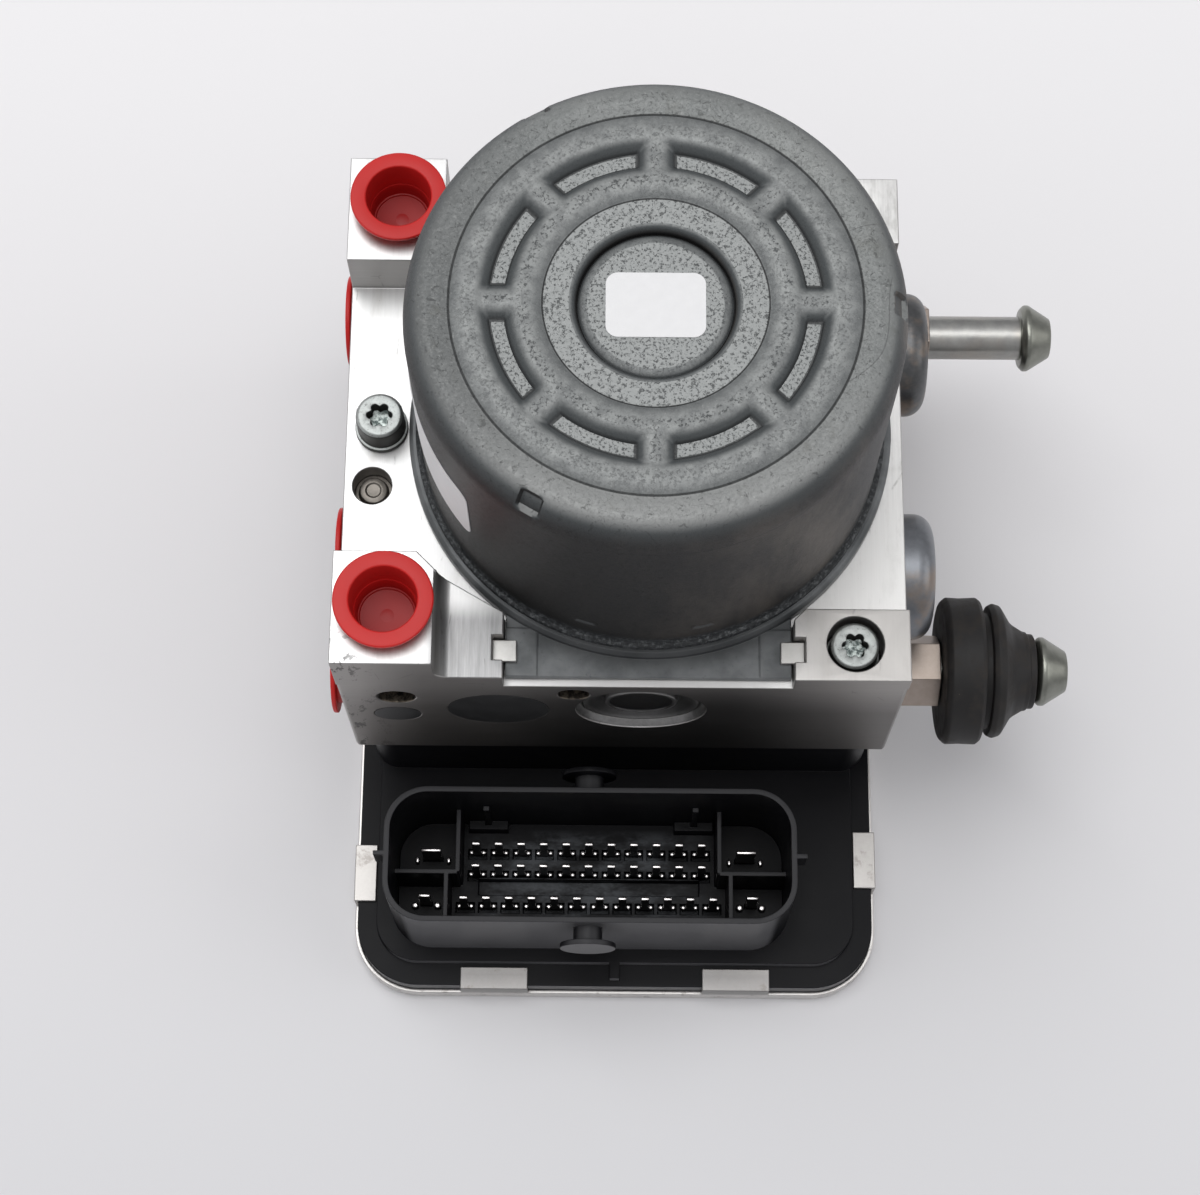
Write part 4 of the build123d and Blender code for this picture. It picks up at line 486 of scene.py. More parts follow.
def screw_paint():
    """Grey zinc with fine marks; painted shade on each socket's walls and round the head's side, and painted light
    on each socket's floor.
    """
    p = Paint("zinc_screw", metallic=1.0)
    marks = p.noise(700, 5, 0.65)
    tone = p.mix(marks, (0.3, 0.325, 0.315), (0.58, 0.6, 0.585))
    tone = p.specked(tone, DIRT, 0.55, 0.54, 0.64)
    lit_socket_floor = p.mix(p.between(p.noise(1300, 4, 0.7), 0.4, 0.62), (0.1, 0.125, 0.12), (0.62, 0.68, 0.655))
    for x, y, top in SCREW_HEADS:
        off = p.away(X=x * MM, Y=y * MM)
        deep = p.between(p.place("Z"), (top - 0.35) * MM, (top - 0.75) * MM)
        socket = p.times(p.between(off, 0.0026, 0.00235), deep)
        # painted shade on each socket's walls
        tone = p.over(tone, (0.015, 0.014, 0.013), socket, 0.93)
        # painted light on each socket's floor
        tone = p.over(tone, lit_socket_floor, socket, p.facing("Z", 0.4, 0.9))
        # painted shade round the side of the head
        shaded_skirt = p.times(p.between(off, 0.004, 0.0042), p.facing("Z", 0.7, 0.2))
        tone = p.over(tone, (0.05, 0.048, 0.045), shaded_skirt, 0.75)
    return p.worn(tone, marks, (0.4, 0.6))


def cap_paint():
    """Red moulded plastic, with painted shade down in the hollow."""
    p = Paint("cap_red", specular=0.3)
    cloud = p.noise(110, 4)
    tone = p.mix(cloud, (0.5, 0.012, 0.012), (0.6, 0.02, 0.017))
    down = p.times(p.axis("Z", 0.0838, 0.0808), p.axis("Z", 0.07, 0.072))
    # painted shade down in the hollow
    return p.moulded(p.over(tone, (0.16, 0.006, 0.007), down, 0.55), cloud, (0.34, 0.5))


# centre of both pump plugs, in mm
PUMP_X, PUMP_Z = -1.2, 58.8


def plug_paint():
    """Turned steel plugs: streaky rings round a dull dark middle, with painted shade in the turned trough."""
    p = Paint("plug_steel", metallic=1.0)
    off = p.away(X=PUMP_X * MM, Z=PUMP_Z * MM)
    marks = p.noise(800, 5, 0.65)
    tone = p.mix(marks, (0.16, 0.158, 0.156), (0.4, 0.395, 0.39))
    tone = p.over(tone, (0.03, 0.03, 0.031), p.between(off, 0.0062, 0.0056), 0.85)
    shaded_trough = p.times(p.between(off, 0.0062, 0.0066), p.between(off, 0.01, 0.009))
    # painted shade in the trough
    tone = p.over(tone, (0.05, 0.05, 0.05), shaded_trough, 0.6)
    return p.worn(tone, marks, (0.28, 0.5))


def stud_paint():
    """Zinc on the studs: mottled shank, greenish head, warm worn hexagon."""
    p = Paint("stud_steel", metallic=1.0)
    marks = p.noise(400, 5, 0.65)
    tone = p.mix(marks, (0.24, 0.24, 0.232), (0.5, 0.495, 0.475))
    tone = p.over(tone, (0.42, 0.37, 0.32), p.between(p.noise(160, 3), 0.42, 0.68), 0.4)
    head = p.axis("X", 0.0722, 0.0726)
    tone = p.mix(head, tone, p.mix(marks, (0.16, 0.165, 0.145), (0.33, 0.335, 0.3)))
    hexagon = p.axis("X", 0.0547, 0.0545)
    tone = p.mix(hexagon, tone, p.mix(marks, (0.24, 0.2, 0.172), (0.44, 0.375, 0.33)))
    dirt = p.times(p.axis("X", 0.047, 0.0456), p.between(p.noise(500, 4), 0.35, 0.6))
    tone = p.over(tone, (0.04, 0.035, 0.03), dirt, 0.8)
    tone = p.specked(tone, DIRT, 0.5, 0.64, 0.73)
    return p.worn(tone, marks, (0.25, 0.42))


def dome_paint():
    """Dull grey steel, darker on the far dome, with a rusty bloom."""
    p = Paint("dome_steel", metallic=1.0)
    marks = p.noise(900, 5, 0.65)
    tone = p.mix(marks, (0.16, 0.17, 0.184), (0.27, 0.28, 0.3))
    far = p.axis("Y", -0.01, 0.008)
    tone = p.mix(far, tone, p.mix(marks, (0.075, 0.077, 0.08), (0.17, 0.172, 0.175)))
    tone = p.over(tone, (0.33, 0.25, 0.185), p.between(p.noise(150, 4), 0.46, 0.66), 0.55)
    tone = p.specked(tone, DIRT, 0.4, 0.66, 0.75)
    return p.worn(tone, marks, (0.32, 0.48))


def ball_paint():
    """The bleed plug's worn steel; the sealing balls in the front face are darker by painted shade, with rust."""
    p = Paint("ball_steel", metallic=1.0)
    marks = p.noise(700, 5, 0.65)
    # the balls: near black by painted shade, with rust
    balls = p.mix(p.between(marks, 0.45, 0.62), (0.018, 0.016, 0.015), (0.15, 0.125, 0.095))
    plug = p.mix(marks, (0.1, 0.092, 0.082), (0.32, 0.295, 0.265))
    return p.worn(p.mix(p.axis("Y", -0.036, -0.03), balls, plug), marks, (0.38, 0.55), 0.00002)


def cover_paint():
    """Zinc sheet with soft marks, duller along the front edge."""
    p = Paint("cover_sheet", metallic=1.0)
    marks = p.noise(400, 5, 0.65)
    tabs = p.axis("Z", 0.004, 0.006)
    tone = p.mix(marks, (0.5, 0.485, 0.47), (0.74, 0.72, 0.7))
    tone = p.mix(tabs, tone, p.mix(marks, (0.31, 0.297, 0.285), (0.5, 0.485, 0.468)))
    front_tone = p.mix(marks, (0.19, 0.182, 0.178), (0.33, 0.322, 0.315))
    tone = p.over(tone, front_tone, p.axis("Y", -0.0845, -0.087), tabs)
    tone = p.over(tone, (0.16, 0.14, 0.125), p.between(p.noise(300, 5, 0.7), 0.56, 0.68), 0.5)
    return p.worn(tone, marks, (0.3, 0.5))


def plastic_paint(name, base, bright, roughness=(0.25, 0.42)):
    """Plain moulded plastic."""
    p = Paint(name)
    cloud = p.noise(110, 4)
    return p.moulded(p.mix(cloud, base, bright), cloud, roughness)


def metal_paint(name, dark, light, roughness=(0.22, 0.42), stretch=None, pits=0.3):
    """Plated or turned metal: mottled, or streaked by a stretch, with a few dark pits."""
    p = Paint(name, metallic=1.0)
    marks = p.noise(1 if stretch else 400, 5, 0.65, stretch=stretch)
    tone = p.specked(p.mix(marks, dark, light), DIRT, pits, 0.66, 0.75)
    return p.worn(tone, marks, roughness)


def rubber_paint(name, base, dust):
    """Matt rubber with a worn, dusty bloom."""
    p = Paint(name, specular=0.35)
    bloom = p.between(p.noise(220, 5, 0.7), 0.45, 0.75)
    tone = p.over(base, dust, bloom, 0.6)
    p.colour(p.specked(tone, (0.3, 0.24, 0.18), 0.7, 0.7, 0.76, 1500))
    p.rough(p.spread(bloom, 0.55, 0.85))
    p.bump(p.noise(1300, 5, 0.7), 0.00003, 0.5)
    return p.material


def plate_paint():
    """The dark coated end plate: clouded, with a painted shadow of the can in front of it, speckle and dust."""
    p = Paint("plate_coating", metallic=0.3, specular=0.35)
    cloud = p.noise(120, 4)
    tone = p.mix(p.between(cloud, 0.3, 0.7), (0.085, 0.091, 0.094), (0.185, 0.193, 0.197))
    can_shadow = p.times(p.between(p.away(X=0.0, Y=0.0), 0.047, 0.0425), p.axis("Y", -0.03, -0.04))
    # painted shadow of the can
    tone = p.over(tone, (0.035, 0.037, 0.039), can_shadow, 0.8)
    tone = p.over(tone, (0.025, 0.026, 0.027), p.between(p.noise(1300, 5, 0.75), 0.58, 0.72), 0.45)
    p.colour(p.specked(tone, (0.2, 0.205, 0.205), 0.4, 0.64, 0.72, 1700))
    p.rough(p.spread(cloud, 0.36, 0.55))
    p.bump(p.noise(1600, 4, 0.7), 0.00003, 0.5)
    return p.material


def paper_paint():
    """Bare white sticker paper."""
    p = Paint("sticker_paper", roughness=0.55)
    p.colour(p.mix(p.noise(500, 3), (0.7, 0.7, 0.703), (0.76, 0.76, 0.765)))
    p.bump(p.noise(2500, 3), 0.000006, 0.4)
    return p.material


GREY_STEEL = ((0.35, 0.35, 0.36), (0.55, 0.55, 0.56))
BRIGHT_STEEL = ((0.45, 0.45, 0.46), (0.66, 0.66, 0.67))
SATIN, MATT = (0.35, 0.5), (0.5, 0.7)
# for each slot: dark tone, light tone, and any further values of metal_paint
METALS = {
    "yoke_steel": GREY_STEEL,
    "valve_steel": BRIGHT_STEEL,
    "dark_plug": ((0.088, 0.089, 0.092), (0.16, 0.161, 0.164), SATIN),
    "clamp_steel": ((0.38, 0.375, 0.36), (0.62, 0.61, 0.59), SATIN, None, 0.5),
    "core_steel": ((0.28, 0.28, 0.29), (0.48, 0.48, 0.49), (0.22, 0.42), (60, 60, 3000)),
    "copper": ((0.5, 0.2, 0.09), (0.72, 0.34, 0.17)),
    "shaft_steel": (*BRIGHT_STEEL, (0.15, 0.3)),
    "bronze": ((0.38, 0.26, 0.12), (0.55, 0.4, 0.2), SATIN),
    "spring_steel": (*GREY_STEEL, (0.2, 0.35)),
    "piston_aluminium": ((0.55, 0.55, 0.55), (0.72, 0.72, 0.72)),
}
PLASTICS = {
    "board": ("board_green", (0.02, 0.1, 0.05), (0.03, 0.14, 0.07)),
    "chips": ("chip_black", (0.02, 0.02, 0.02), (0.035, 0.035, 0.035), MATT),
    "bobbin": ("bobbin_brown", (0.1, 0.07, 0.04), (0.16, 0.11, 0.06)),
    "magnet": ("magnet_ferrite", (0.05, 0.05, 0.055), (0.08, 0.08, 0.085), MATT),
    "holder_plastic": ("holder_dark", (0.03, 0.03, 0.03), (0.05, 0.05, 0.05), (0.4, 0.6)),
    "carbon": ("carbon", (0.03, 0.03, 0.03), (0.06, 0.06, 0.06), MATT),
}
RUBBERS = {
    "seal_rubber": ((0.02, 0.02, 0.02), (0.05, 0.05, 0.05)),
    "grommet_rubber": ((0.012, 0.011, 0.011), (0.045, 0.038, 0.032)),
}
OTHERS = {
    "block_aluminium": block_paint, "housing_plastic": housing_paint, "cover_sheet": cover_paint,
    "contacts": contact_paint, "zinc_screw": screw_paint, "ball_steel": ball_paint,
    "cap_plastic": cap_paint, "plate_plastic": plate_paint, "can_steel": can_paint,
    "sticker": paper_paint, "plug_steel": plug_paint, "dome_steel": dome_paint,
    "stud_steel": stud_paint,
}
MATERIALS = {}


def make_materials():
    """Makes the paint of every material slot."""
    MATERIALS.update({slot: metal_paint(slot, *values) for slot, values in METALS.items()})
    MATERIALS.update({slot: plastic_paint(*values) for slot, values in PLASTICS.items()})
    MATERIALS.update({slot: rubber_paint(slot, *values) for slot, values in RUBBERS.items()})
    MATERIALS.update({slot: paint() for slot, paint in OTHERS.items()})


def slot_of(node):
    for row in frame["record"]["subparts"]:
        if row["node"] == node:
            return row["material_slot"]


def body_of(node):
    for body, members in frame["record"]["behaviour"]["bodies"].items():
        if node in members:
            return body


def dress_nodes():
    """Gives every CAD node the material of its slot."""
    for name, piece in frame["nodes"].items():
        piece.data.materials.clear()
        piece.data.materials.append(MATERIALS[slot_of(name)])


# ---- mesh helpers ----

def add_piece(name, mesh, node, replaces=True):
    """Links a mesh as a piece that rides with a node's body and takes its finish."""
    slot = slot_of(node)
    piece = bpy.data.objects.new(name, mesh)
    scene.collection.objects.link(piece)
    mesh.materials.clear()
    mesh.materials.append(MATERIALS[slot])
    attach(piece, body_of(node))
    if replaces:
        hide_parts(node)
    return piece


def smooth(mesh, angle=35):
    """Shades a mesh smoothly, apart from edges sharper than an angle in degrees."""
    mesh.polygons.foreach_set("use_smooth", [True] * len(mesh.polygons))
    mesh.set_sharp_from_angle(angle=math.radians(angle))
    mesh.update()


def weigh_normals(piece):
    """Lets a piece's large faces set the shading of the narrow ones beside them."""
    piece.modifiers.new("normals", "WEIGHTED_NORMAL").keep_sharp = True
    mesh = bpy.data.meshes.new_from_object(piece.evaluated_get(bpy.context.evaluated_depsgraph_get()))
    piece.modifiers.clear()
    mesh.name = piece.data.name
    piece.data = mesh


def copied(node, name):
    mesh = frame["nodes"][node].data.copy()
    mesh.name = name
    return mesh


def meshed(name, verts, faces, outwards=False):
    """A mesh from points in mm, with its faces turned outwards if that is asked for."""
    mesh = bpy.data.meshes.new(name)
    mesh.from_pydata((np.array(verts) * MM).tolist(), [], faces)
    if outwards:
        bm = bmesh.new()
        bm.from_mesh(mesh)
        bmesh.ops.recalc_face_normals(bm, faces=bm.faces)
        bm.to_mesh(mesh)
        bm.free()
    return mesh


MERGE_REACH = 2e-6
FLAT_ANGLE, EDGE_ANGLE = math.radians(0.5), math.radians(28)


def softened(node, width):
    """A copy of a CAD node with its sharp edges rounded, which stands for the node."""
    name = f"{node}_soft"
    mesh = copied(node, name)
    bm = bmesh.new()
    bm.from_mesh(mesh)
    bmesh.ops.remove_doubles(bm, verts=bm.verts, dist=MERGE_REACH)
    bmesh.ops.dissolve_degenerate(bm, edges=bm.edges, dist=MERGE_REACH)
    bmesh.ops.dissolve_limit(bm, angle_limit=FLAT_ANGLE, verts=bm.verts, edges=bm.edges)
    sharp = [e for e in bm.edges if len(e.link_faces) == 2 and e.calc_face_angle(0) > EDGE_ANGLE]
    bmesh.ops.bevel(bm, geom=sharp, offset=width, segments=2, profile=0.5, affect="EDGES",
                    clamp_overlap=False)
    bmesh.ops.triangulate(bm, faces=[f for f in bm.faces if len(f.verts) > 4])
    bm.to_mesh(mesh)
    bm.free()
    smooth(mesh, 50)
    weigh_normals(add_piece(name, mesh, node))


# ---- turned pieces ----

def arc_corner(before, corner, after, radius, steps):
    """The points that round off one corner of an outline."""
    a = np.array(before, float) - corner
    b = np.array(after, float) - corner
    len_a, len_b = np.linalg.norm(a), np.linalg.norm(b)
    a, b = a / len_a, b / len_b
    half = math.acos(max(-1.0, min(1.0, float(a @ b)))) / 2
    if math.pi / 2 - half < 1e-3:
        return [tuple(corner)]
    reach = min(radius / math.tan(half), len_a * 0.49, len_b * 0.49)
    size = reach * math.tan(half)
    centre = corner + (a + b) / np.linalg.norm(a + b) * size / math.sin(half)
    start = corner + a * reach - centre
    end = corner + b * reach - centre
    turn = math.atan2(start[0] * end[1] - start[1] * end[0], float(start @ end))
    points = []
    for index in range(steps + 1):
        angle = turn * index / steps
        c, s = math.cos(angle), math.sin(angle)
        points.append((centre[0] + start[0] * c - start[1] * s, centre[1] + start[0] * s + start[1] * c))
    return points


def rounded(outline, steps=5):
    """An outline of (radius, height, corner radius) turned into plain points."""
    points = []
    for index, (r, z, corner) in enumerate(outline):
        if corner == 0 or index in (0, len(outline) - 1):
            points.append((r, z))
            continue
        before, after = outline[index - 1], outline[index + 1]
        points += arc_corner(before[:2], np.array((r, z), float), after[:2], corner, steps)
    return points


def add_turned(node, points, steps, place, turn=None, warp=None, name=None):
    """Adds a turned piece for a node, from an outline in mm that closes on itself or on the axis."""
    rows, verts = [], []
    for r, z in points:
        if r < 1e-6:
            rows.append([len(verts)] * steps)
            verts.append((0.0, 0.0, z))
            continue
        rows.append(list(range(len(verts), len(verts) + steps)))
        for index in range(steps):
            angle = 2 * math.pi * index / steps
            verts.append((r * math.cos(angle), r * math.sin(angle), z))
    faces = []
    for low, high in zip(rows, rows[1:]):
        for index in range(steps):
            after = (index + 1) % steps
            face = list(dict.fromkeys((low[index], low[after], high[after], high[index])))
            if len(face) > 2:
                faces.append(face)
    cloud = np.array(verts)
    if warp:
        cloud = warp(cloud)
    matrix = Matrix.Translation(place) @ (turn or Matrix())
    name = name or f"{node}_shape"
    mesh = meshed(name, [matrix @ Vector(v) for v in cloud], faces, True)
    smooth(mesh)
    add_piece(name, mesh, node)


ALONG_X = Matrix.Rotation(math.pi / 2, 4, "Y")
TO_LEFT = Matrix.Rotation(-math.pi / 2, 4, "Y")
TO_FRONT = Matrix.Rotation(math.pi / 2, 4, "X")
TO_BACK = Matrix.Rotation(-math.pi / 2, 4, "X")

# ---- the motor's can: a pressed sheet with a relief top ----

# all in mm; a drop is a depth below the can's top
CAN_R, CAN_TOP, CAN_FOOT = 40.8, 130.45, 76.45
CAN_LIP = 1.1
CAN_STEPS = 576
SHOULDER_R = 6.0
SHOULDER_REACH = 4.3
ANNULUS_DROP = 0.8
CROWN_DROP = 0.12
FLOOR_DROP = 2.0
RING_DROP = 1.2
BUTTON_DROP = 2.5
BUTTON_EDGE_R, BUTTON_EDGE_DROP = 2.1, 0.95
GROOVE_DROP, GROOVE_WIDTH = 3.3, 0.15
LIP_DROP = 1.8
CREST_DROP = 0.0
INNER_CREST_DROP = 0.25
RADII = SimpleNamespace(button=12.64, lip=14.0, ring=18.23, inner_crest=21.65, floor_in=24.4,
                        floor_out=26.8, crest=29.6, band=33.2)
# where the rings of the relief's mesh lie: first radius, last radius, count
RING_ZONES = ((0.6, 10.5, 3), (10.6, 12.6, 9), (12.66, 12.8, 3), (12.9, 14.25, 7), (14.4, 18.1, 4),
              (18.22, 21.55, 12), (21.65, 24.35, 15), (24.42, 26.78, 8), (26.82, 29.5, 15),
              (29.6, 33.15, 13), (33.22, 36.5, 7))
SPOKES = 8
SPOKE_HALF = 3.0
SPOKE_SINK, SPOKE_SINK_END, SPOKE_SINK_REACH = 0.42, 0.12, 4.0
SPOKE_POWER = 2.6
SPOKE_BLEND = 0.5
# further off than any mark reaches
FAR = 9.0
# heights of the wall's rings: high, low, count
WALL_ZONES = ((122.4, 88.0, 8), (86.6, 81.6, 21), (80.6, 78.9, 3))
# the foot's outline: distance out from the wall, height
FOOT = ((0, 78.35), (0.1, 77.95), (0.35, 77.62), (0.75, 77.55), (CAN_LIP - 0.1, 77.42), (CAN_LIP, 77.1),
        (CAN_LIP, CAN_FOOT))
# the dents in the shoulder and the lances at the wall's foot: half width, half height, edge
DENT_ANGLES = (0.0, 120.0, 240.0)
DENT_SIZE = (2.0, 1.9, 0.7)
DENT_IN, DENT_DOWN = 0.65, 0.6
LANCE_ANGLES = (-106.0, -77.0)
LANCE_SIZE = (1.9, 1.1, 0.5)
LANCE_Z, LANCE_IN = 84.15, 0.35
# the hidden inside: radius, height, corner radius
INSIDE_TOP = 125.45
INSIDE = ((39.2, CAN_FOOT, 0), (39.2, 126.85, 4.4), (15.7, 126.85, 0), (15.7, INSIDE_TOP, 0),
          (9.62, INSIDE_TOP, 0), (9.62, 117.45, 0), (8.02, 117.45, 0), (8.02, INSIDE_TOP, 0),
          (0.6, INSIDE_TOP, 0))


def slope(r, high_r, low_r, high_drop, low_drop, power):
    """A flank between two radii: level at its high end and steepest at its low end."""
    return high_drop + (low_drop - high_drop) * np.clip((r - high_r) / (low_r - high_r), 0, 1) ** power


def quarter(share):
    """A quarter of a circle, flat at share 0 and upright at share 1."""
    return 1 - np.sqrt(1 - np.clip(share, 0, 1) ** 2)


def ring_drop(r):
    """How far below its top the can's relief lies at a radius, without the spokes."""
    q = RADII
    rise = np.clip((r - q.band) / (CAN_R - SHOULDER_REACH - q.band), 0, 1)
    out = ANNULUS_DROP + (CROWN_DROP - ANNULUS_DROP) * np.sin(rise * math.pi / 2)
    groove_out = q.button + GROOVE_WIDTH
    button = BUTTON_DROP + BUTTON_EDGE_DROP * quarter((r - (q.button - BUTTON_EDGE_R)) / BUTTON_EDGE_R)
    lip = RING_DROP + LIP_DROP * quarter((q.lip - r) / (q.lip - groove_out))
    zones = (
        (q.band, slope(r, q.crest, q.band, CREST_DROP, ANNULUS_DROP, 2.0)),
        (q.crest, slope(r, q.crest, q.floor_out, CREST_DROP, FLOOR_DROP, 2.2)),
        (q.floor_out, FLOOR_DROP),
        (q.floor_in, slope(r, q.inner_crest, q.floor_in, INNER_CREST_DROP, FLOOR_DROP, 2.2)),
        (q.inner_crest, slope(r, q.inner_crest, q.ring, INNER_CREST_DROP, RING_DROP, 1.9)),
        (q.ring, RING_DROP),
        (q.lip, lip),
        (groove_out, GROOVE_DROP),
        (q.button, button),
    )
    for edge, value in zones:
        out = np.where(r < edge, value, out)
    return out


def soft_min(a, b, width):
    """The smaller of two fields, with the crease between them rounded."""
    blend = np.clip(0.5 + (b - a) / (2 * width), 0, 1)
    return b * (1 - blend) + a * blend - width * blend * (1 - blend)


def with_spokes(drop, r, angle):
    """The relief with the spokes that bridge its pockets."""
    pitch = 2 * math.pi / SPOKES
    off = (angle + pitch / 2) % pitch - pitch / 2
    t = np.abs(np.sin(off) * r)
    middle = (RADII.floor_in + RADII.floor_out) / 2
    fade = np.clip(np.abs(r - middle) / SPOKE_SINK_REACH, 0, 1) ** 2
    sink = SPOKE_SINK - (SPOKE_SINK - SPOKE_SINK_END) * fade
    spoke = sink + (FLOOR_DROP - sink) * (t / SPOKE_HALF) ** SPOKE_POWER
    spoke = np.where(t < SPOKE_HALF * 1.25, spoke, FAR)
    inside = (r > RADII.inner_crest - 0.2) & (r < RADII.crest + 0.2)
    return np.maximum(np.where(inside, soft_min(drop, spoke, SPOKE_BLEND), drop), 0)


def soft_box(x, y, half_x, half_y, edge):
    """1 inside a rectangle round the origin and 0 outside, with sloping sides."""
    fall_x = np.clip((half_x - np.abs(x)) / edge + 0.5, 0, 1)
    fall_y = np.clip((half_y - np.abs(y)) / edge + 0.5, 0, 1)
    both = fall_x * fall_y
    return both * both * (3 - 2 * both)


def around_can(angles, degrees):
    """Distance round the can's wall from an angle in degrees."""
    return ((angles - math.radians(degrees) + math.pi) % (2 * math.pi) - math.pi) * CAN_R


def turned_rows(points, angles):
    """Radii, angles and heights of an outline turned round the can's axis, a row for each point."""
    r, a = np.meshgrid([p[0] for p in points], angles, indexing="ij")
    return r, a, np.repeat(np.array([p[1] for p in points], float)[:, None], len(angles), 1)


def to_places(r, a, z):
    return np.stack((r * np.cos(a), r * np.sin(a), z), -1)


def can_side(angles):
    """The shoulder, the wall and the foot, with the dents and the lances."""
    lean = np.radians(np.linspace(10, 90, 16))
    shoulder_foot = CAN_TOP - ANNULUS_DROP - SHOULDER_R
    shoulder = [(CAN_R - SHOULDER_REACH * (1 - math.sin(t)),
                 shoulder_foot + (CAN_TOP - CROWN_DROP - shoulder_foot) * math.cos(t)) for t in lean]
    wall = [(CAN_R, z) for z in np.concatenate([np.linspace(*zone) for zone in WALL_ZONES])]
    foot = [(CAN_R + out, z) for out, z in FOOT]
    r, a, z = turned_rows(shoulder + wall + foot, angles)
    along = np.full(len(r), FAR)
    along[:len(lean)] = SHOULDER_R * (lean - math.pi / 4)
    along = along[:, None]
    for degrees in DENT_ANGLES:
        dent = soft_box(around_can(a, degrees), along, *DENT_SIZE)
        r = r - DENT_IN * dent
        z = z - DENT_DOWN * dent
    for degrees in LANCE_ANGLES:
        r = r - LANCE_IN * soft_box(around_can(a, degrees), z - LANCE_Z, *LANCE_SIZE)
    return to_places(r, a, z)


def can_skin():
    """The can as one closed sheet: relief top, rounded shoulder, wall with its marks, and foot lip."""
    angles = np.arange(CAN_STEPS) * 2 * math.pi / CAN_STEPS
    radii = np.concatenate([np.linspace(*zone) for zone in RING_ZONES])
    r, a = np.meshgrid(radii, angles, indexing="ij")
    top = to_places(r, a, CAN_TOP - with_spokes(ring_drop(r), r, a))
    grid = np.concatenate((top, can_side(angles), to_places(*turned_rows(rounded(INSIDE), angles))))
    rows = grid.shape[0]
    verts = [(0.0, 0.0, CAN_TOP - BUTTON_DROP)] + grid.reshape(-1, 3).tolist() + [(0.0, 0.0, INSIDE_TOP)]
    index = np.arange(rows * CAN_STEPS).reshape(rows, CAN_STEPS) + 1
    after = np.roll(index, -1, axis=1)
    faces = np.stack((index[:-1], index[1:], after[1:], after[:-1]), -1).reshape(-1, 4).tolist()
    faces += [[0, int(b), int(c)] for b, c in zip(index[0], after[0])]
    faces += [[len(verts) - 1, int(c), int(b)] for b, c in zip(index[-1], after[-1])]
    mesh = meshed("can_skin", verts, faces)
    smooth(mesh, 40)
    add_piece("can_skin", mesh, "motor_can")


# ---- caps, grommet and plugs: outlines of (radius, height, corner radius), in mm ----

CAP_DEPTH = 9.5
# node, middle of the port's mouth, turn, the flange's stand above the mouth
CAPS = (("front_top_cap", (-45.48, -37.3, 86.4), None, 3.5),
        ("back_top_cap", (-45.48, 39.2, 85.1), None, 3.5),
        ("front_side_cap", (-54.68, -37.6, 51.0), TO_LEFT, 2.7),
        ("middle_side_cap", (-54.68, -15.9, 51.0), TO_LEFT, 2.7),
        ("back_side_cap", (-54.68, 31.5, 51.0), TO_LEFT, 2.7))
GROMMET_PLACE = (45.32, -34.6, 41.0)
FRONT_PUMP_Y, BACK_PUMP_Y = -40.85, 41.55
BLEED_PLACE = (-49.6, -10.65, 67.95)


def cap_outline(stand):
    """A cap's section: plug, flange at its stand above the port, and the stepped hollow."""
    floor = stand - CAP_DEPTH
    return rounded([
        (0, floor - 1.0, 0), (5.75, floor - 1.0, 0.5), (6.8, 0, 1.0), (6.8, stand - 0.9, 0.25),
        (8.65, stand - 0.9, 0.25), (8.65, stand, 0.3), (5.85, stand, 0.35), (5.72, -0.8, 0.5),
        (5.55, -2.6, 0.15), (5.4, -2.75, 0.15), (5.1, floor + 0.45, 0.25), (4.8, floor + 0.4, 0.1),
        (4.74, floor + 0.05, 0.1), (1.2, floor - 0.07, 0.4), (0, floor + 0.1, 0)], 4)


GROMMET_OUTLINE = rounded([
    (4.25, 9.6, 0), (12.9, 9.6, 1.2), (13.85, 10.7, 0.7), (13.72, 13.1, 5.0), (13.85, 16.2, 0.5),
    (13.3, 16.9, 0.35), (10.9, 16.9, 0.25), (10.9, 18.4, 0.25), (12.2, 18.4, 0.4), (12.7, 19.4, 0.6),
    (12.3, 20.7, 0.9), (9.0, 22.7, 3.0), (7.6, 25.0, 1.2), (7.45, 25.7, 0.2), (7.1, 25.95, 0.2),
    (7.1, 27.05, 0.35), (4.25, 27.1, 0), (4.25, 9.6, 0)])

PUMP_PLUG_OUTLINE = rounded([
    (0, 0, 0), (11.7, 0, 0), (11.7, 6.95, 0.12), (10.75, 5.7, 0.1), (10.6, 5.1, 0), (10.5, 5.1, 0),
    (10.35, 5.75, 0.15), (9.9, 5.75, 0.3), (7.3, 4.3, 0.35), (6.75, 4.35, 0.2), (6.45, 5.55, 0.35),
    (5.85, 5.6, 0.2), (5.6, 5.3, 0.15), (0, 5.25, 0)], 4)

BLEED_OUTLINE = rounded([
    (0, 0, 0), (3.48, 0, 0), (3.48, 1.6, 0.2), (2.75, 1.6, 0.15), (2.5, 2.1, 0.1), (2.5, 3.0, 0.3),
    (1.5, 3.2, 0.2), (1.2, 2.95, 0.15), (0, 2.9, 0)], 4)


def rubber_waves(cloud):
    """Makes a moulded rubber piece a little uneven."""
    angle = np.arctan2(cloud[:, 1], cloud[:, 0])
    swell = 0.05 * np.sin(3 * angle + cloud[:, 2] * 0.4) + 0.03 * np.sin(7 * angle + 1.3)
    radius = np.hypot(cloud[:, 0], cloud[:, 1])
    grow = 1 + np.where(radius > 6, swell - 0.08, 0) / np.maximum(radius, 1)
    out = cloud.copy()
    out[:, :2] *= grow[:, None]
    return out


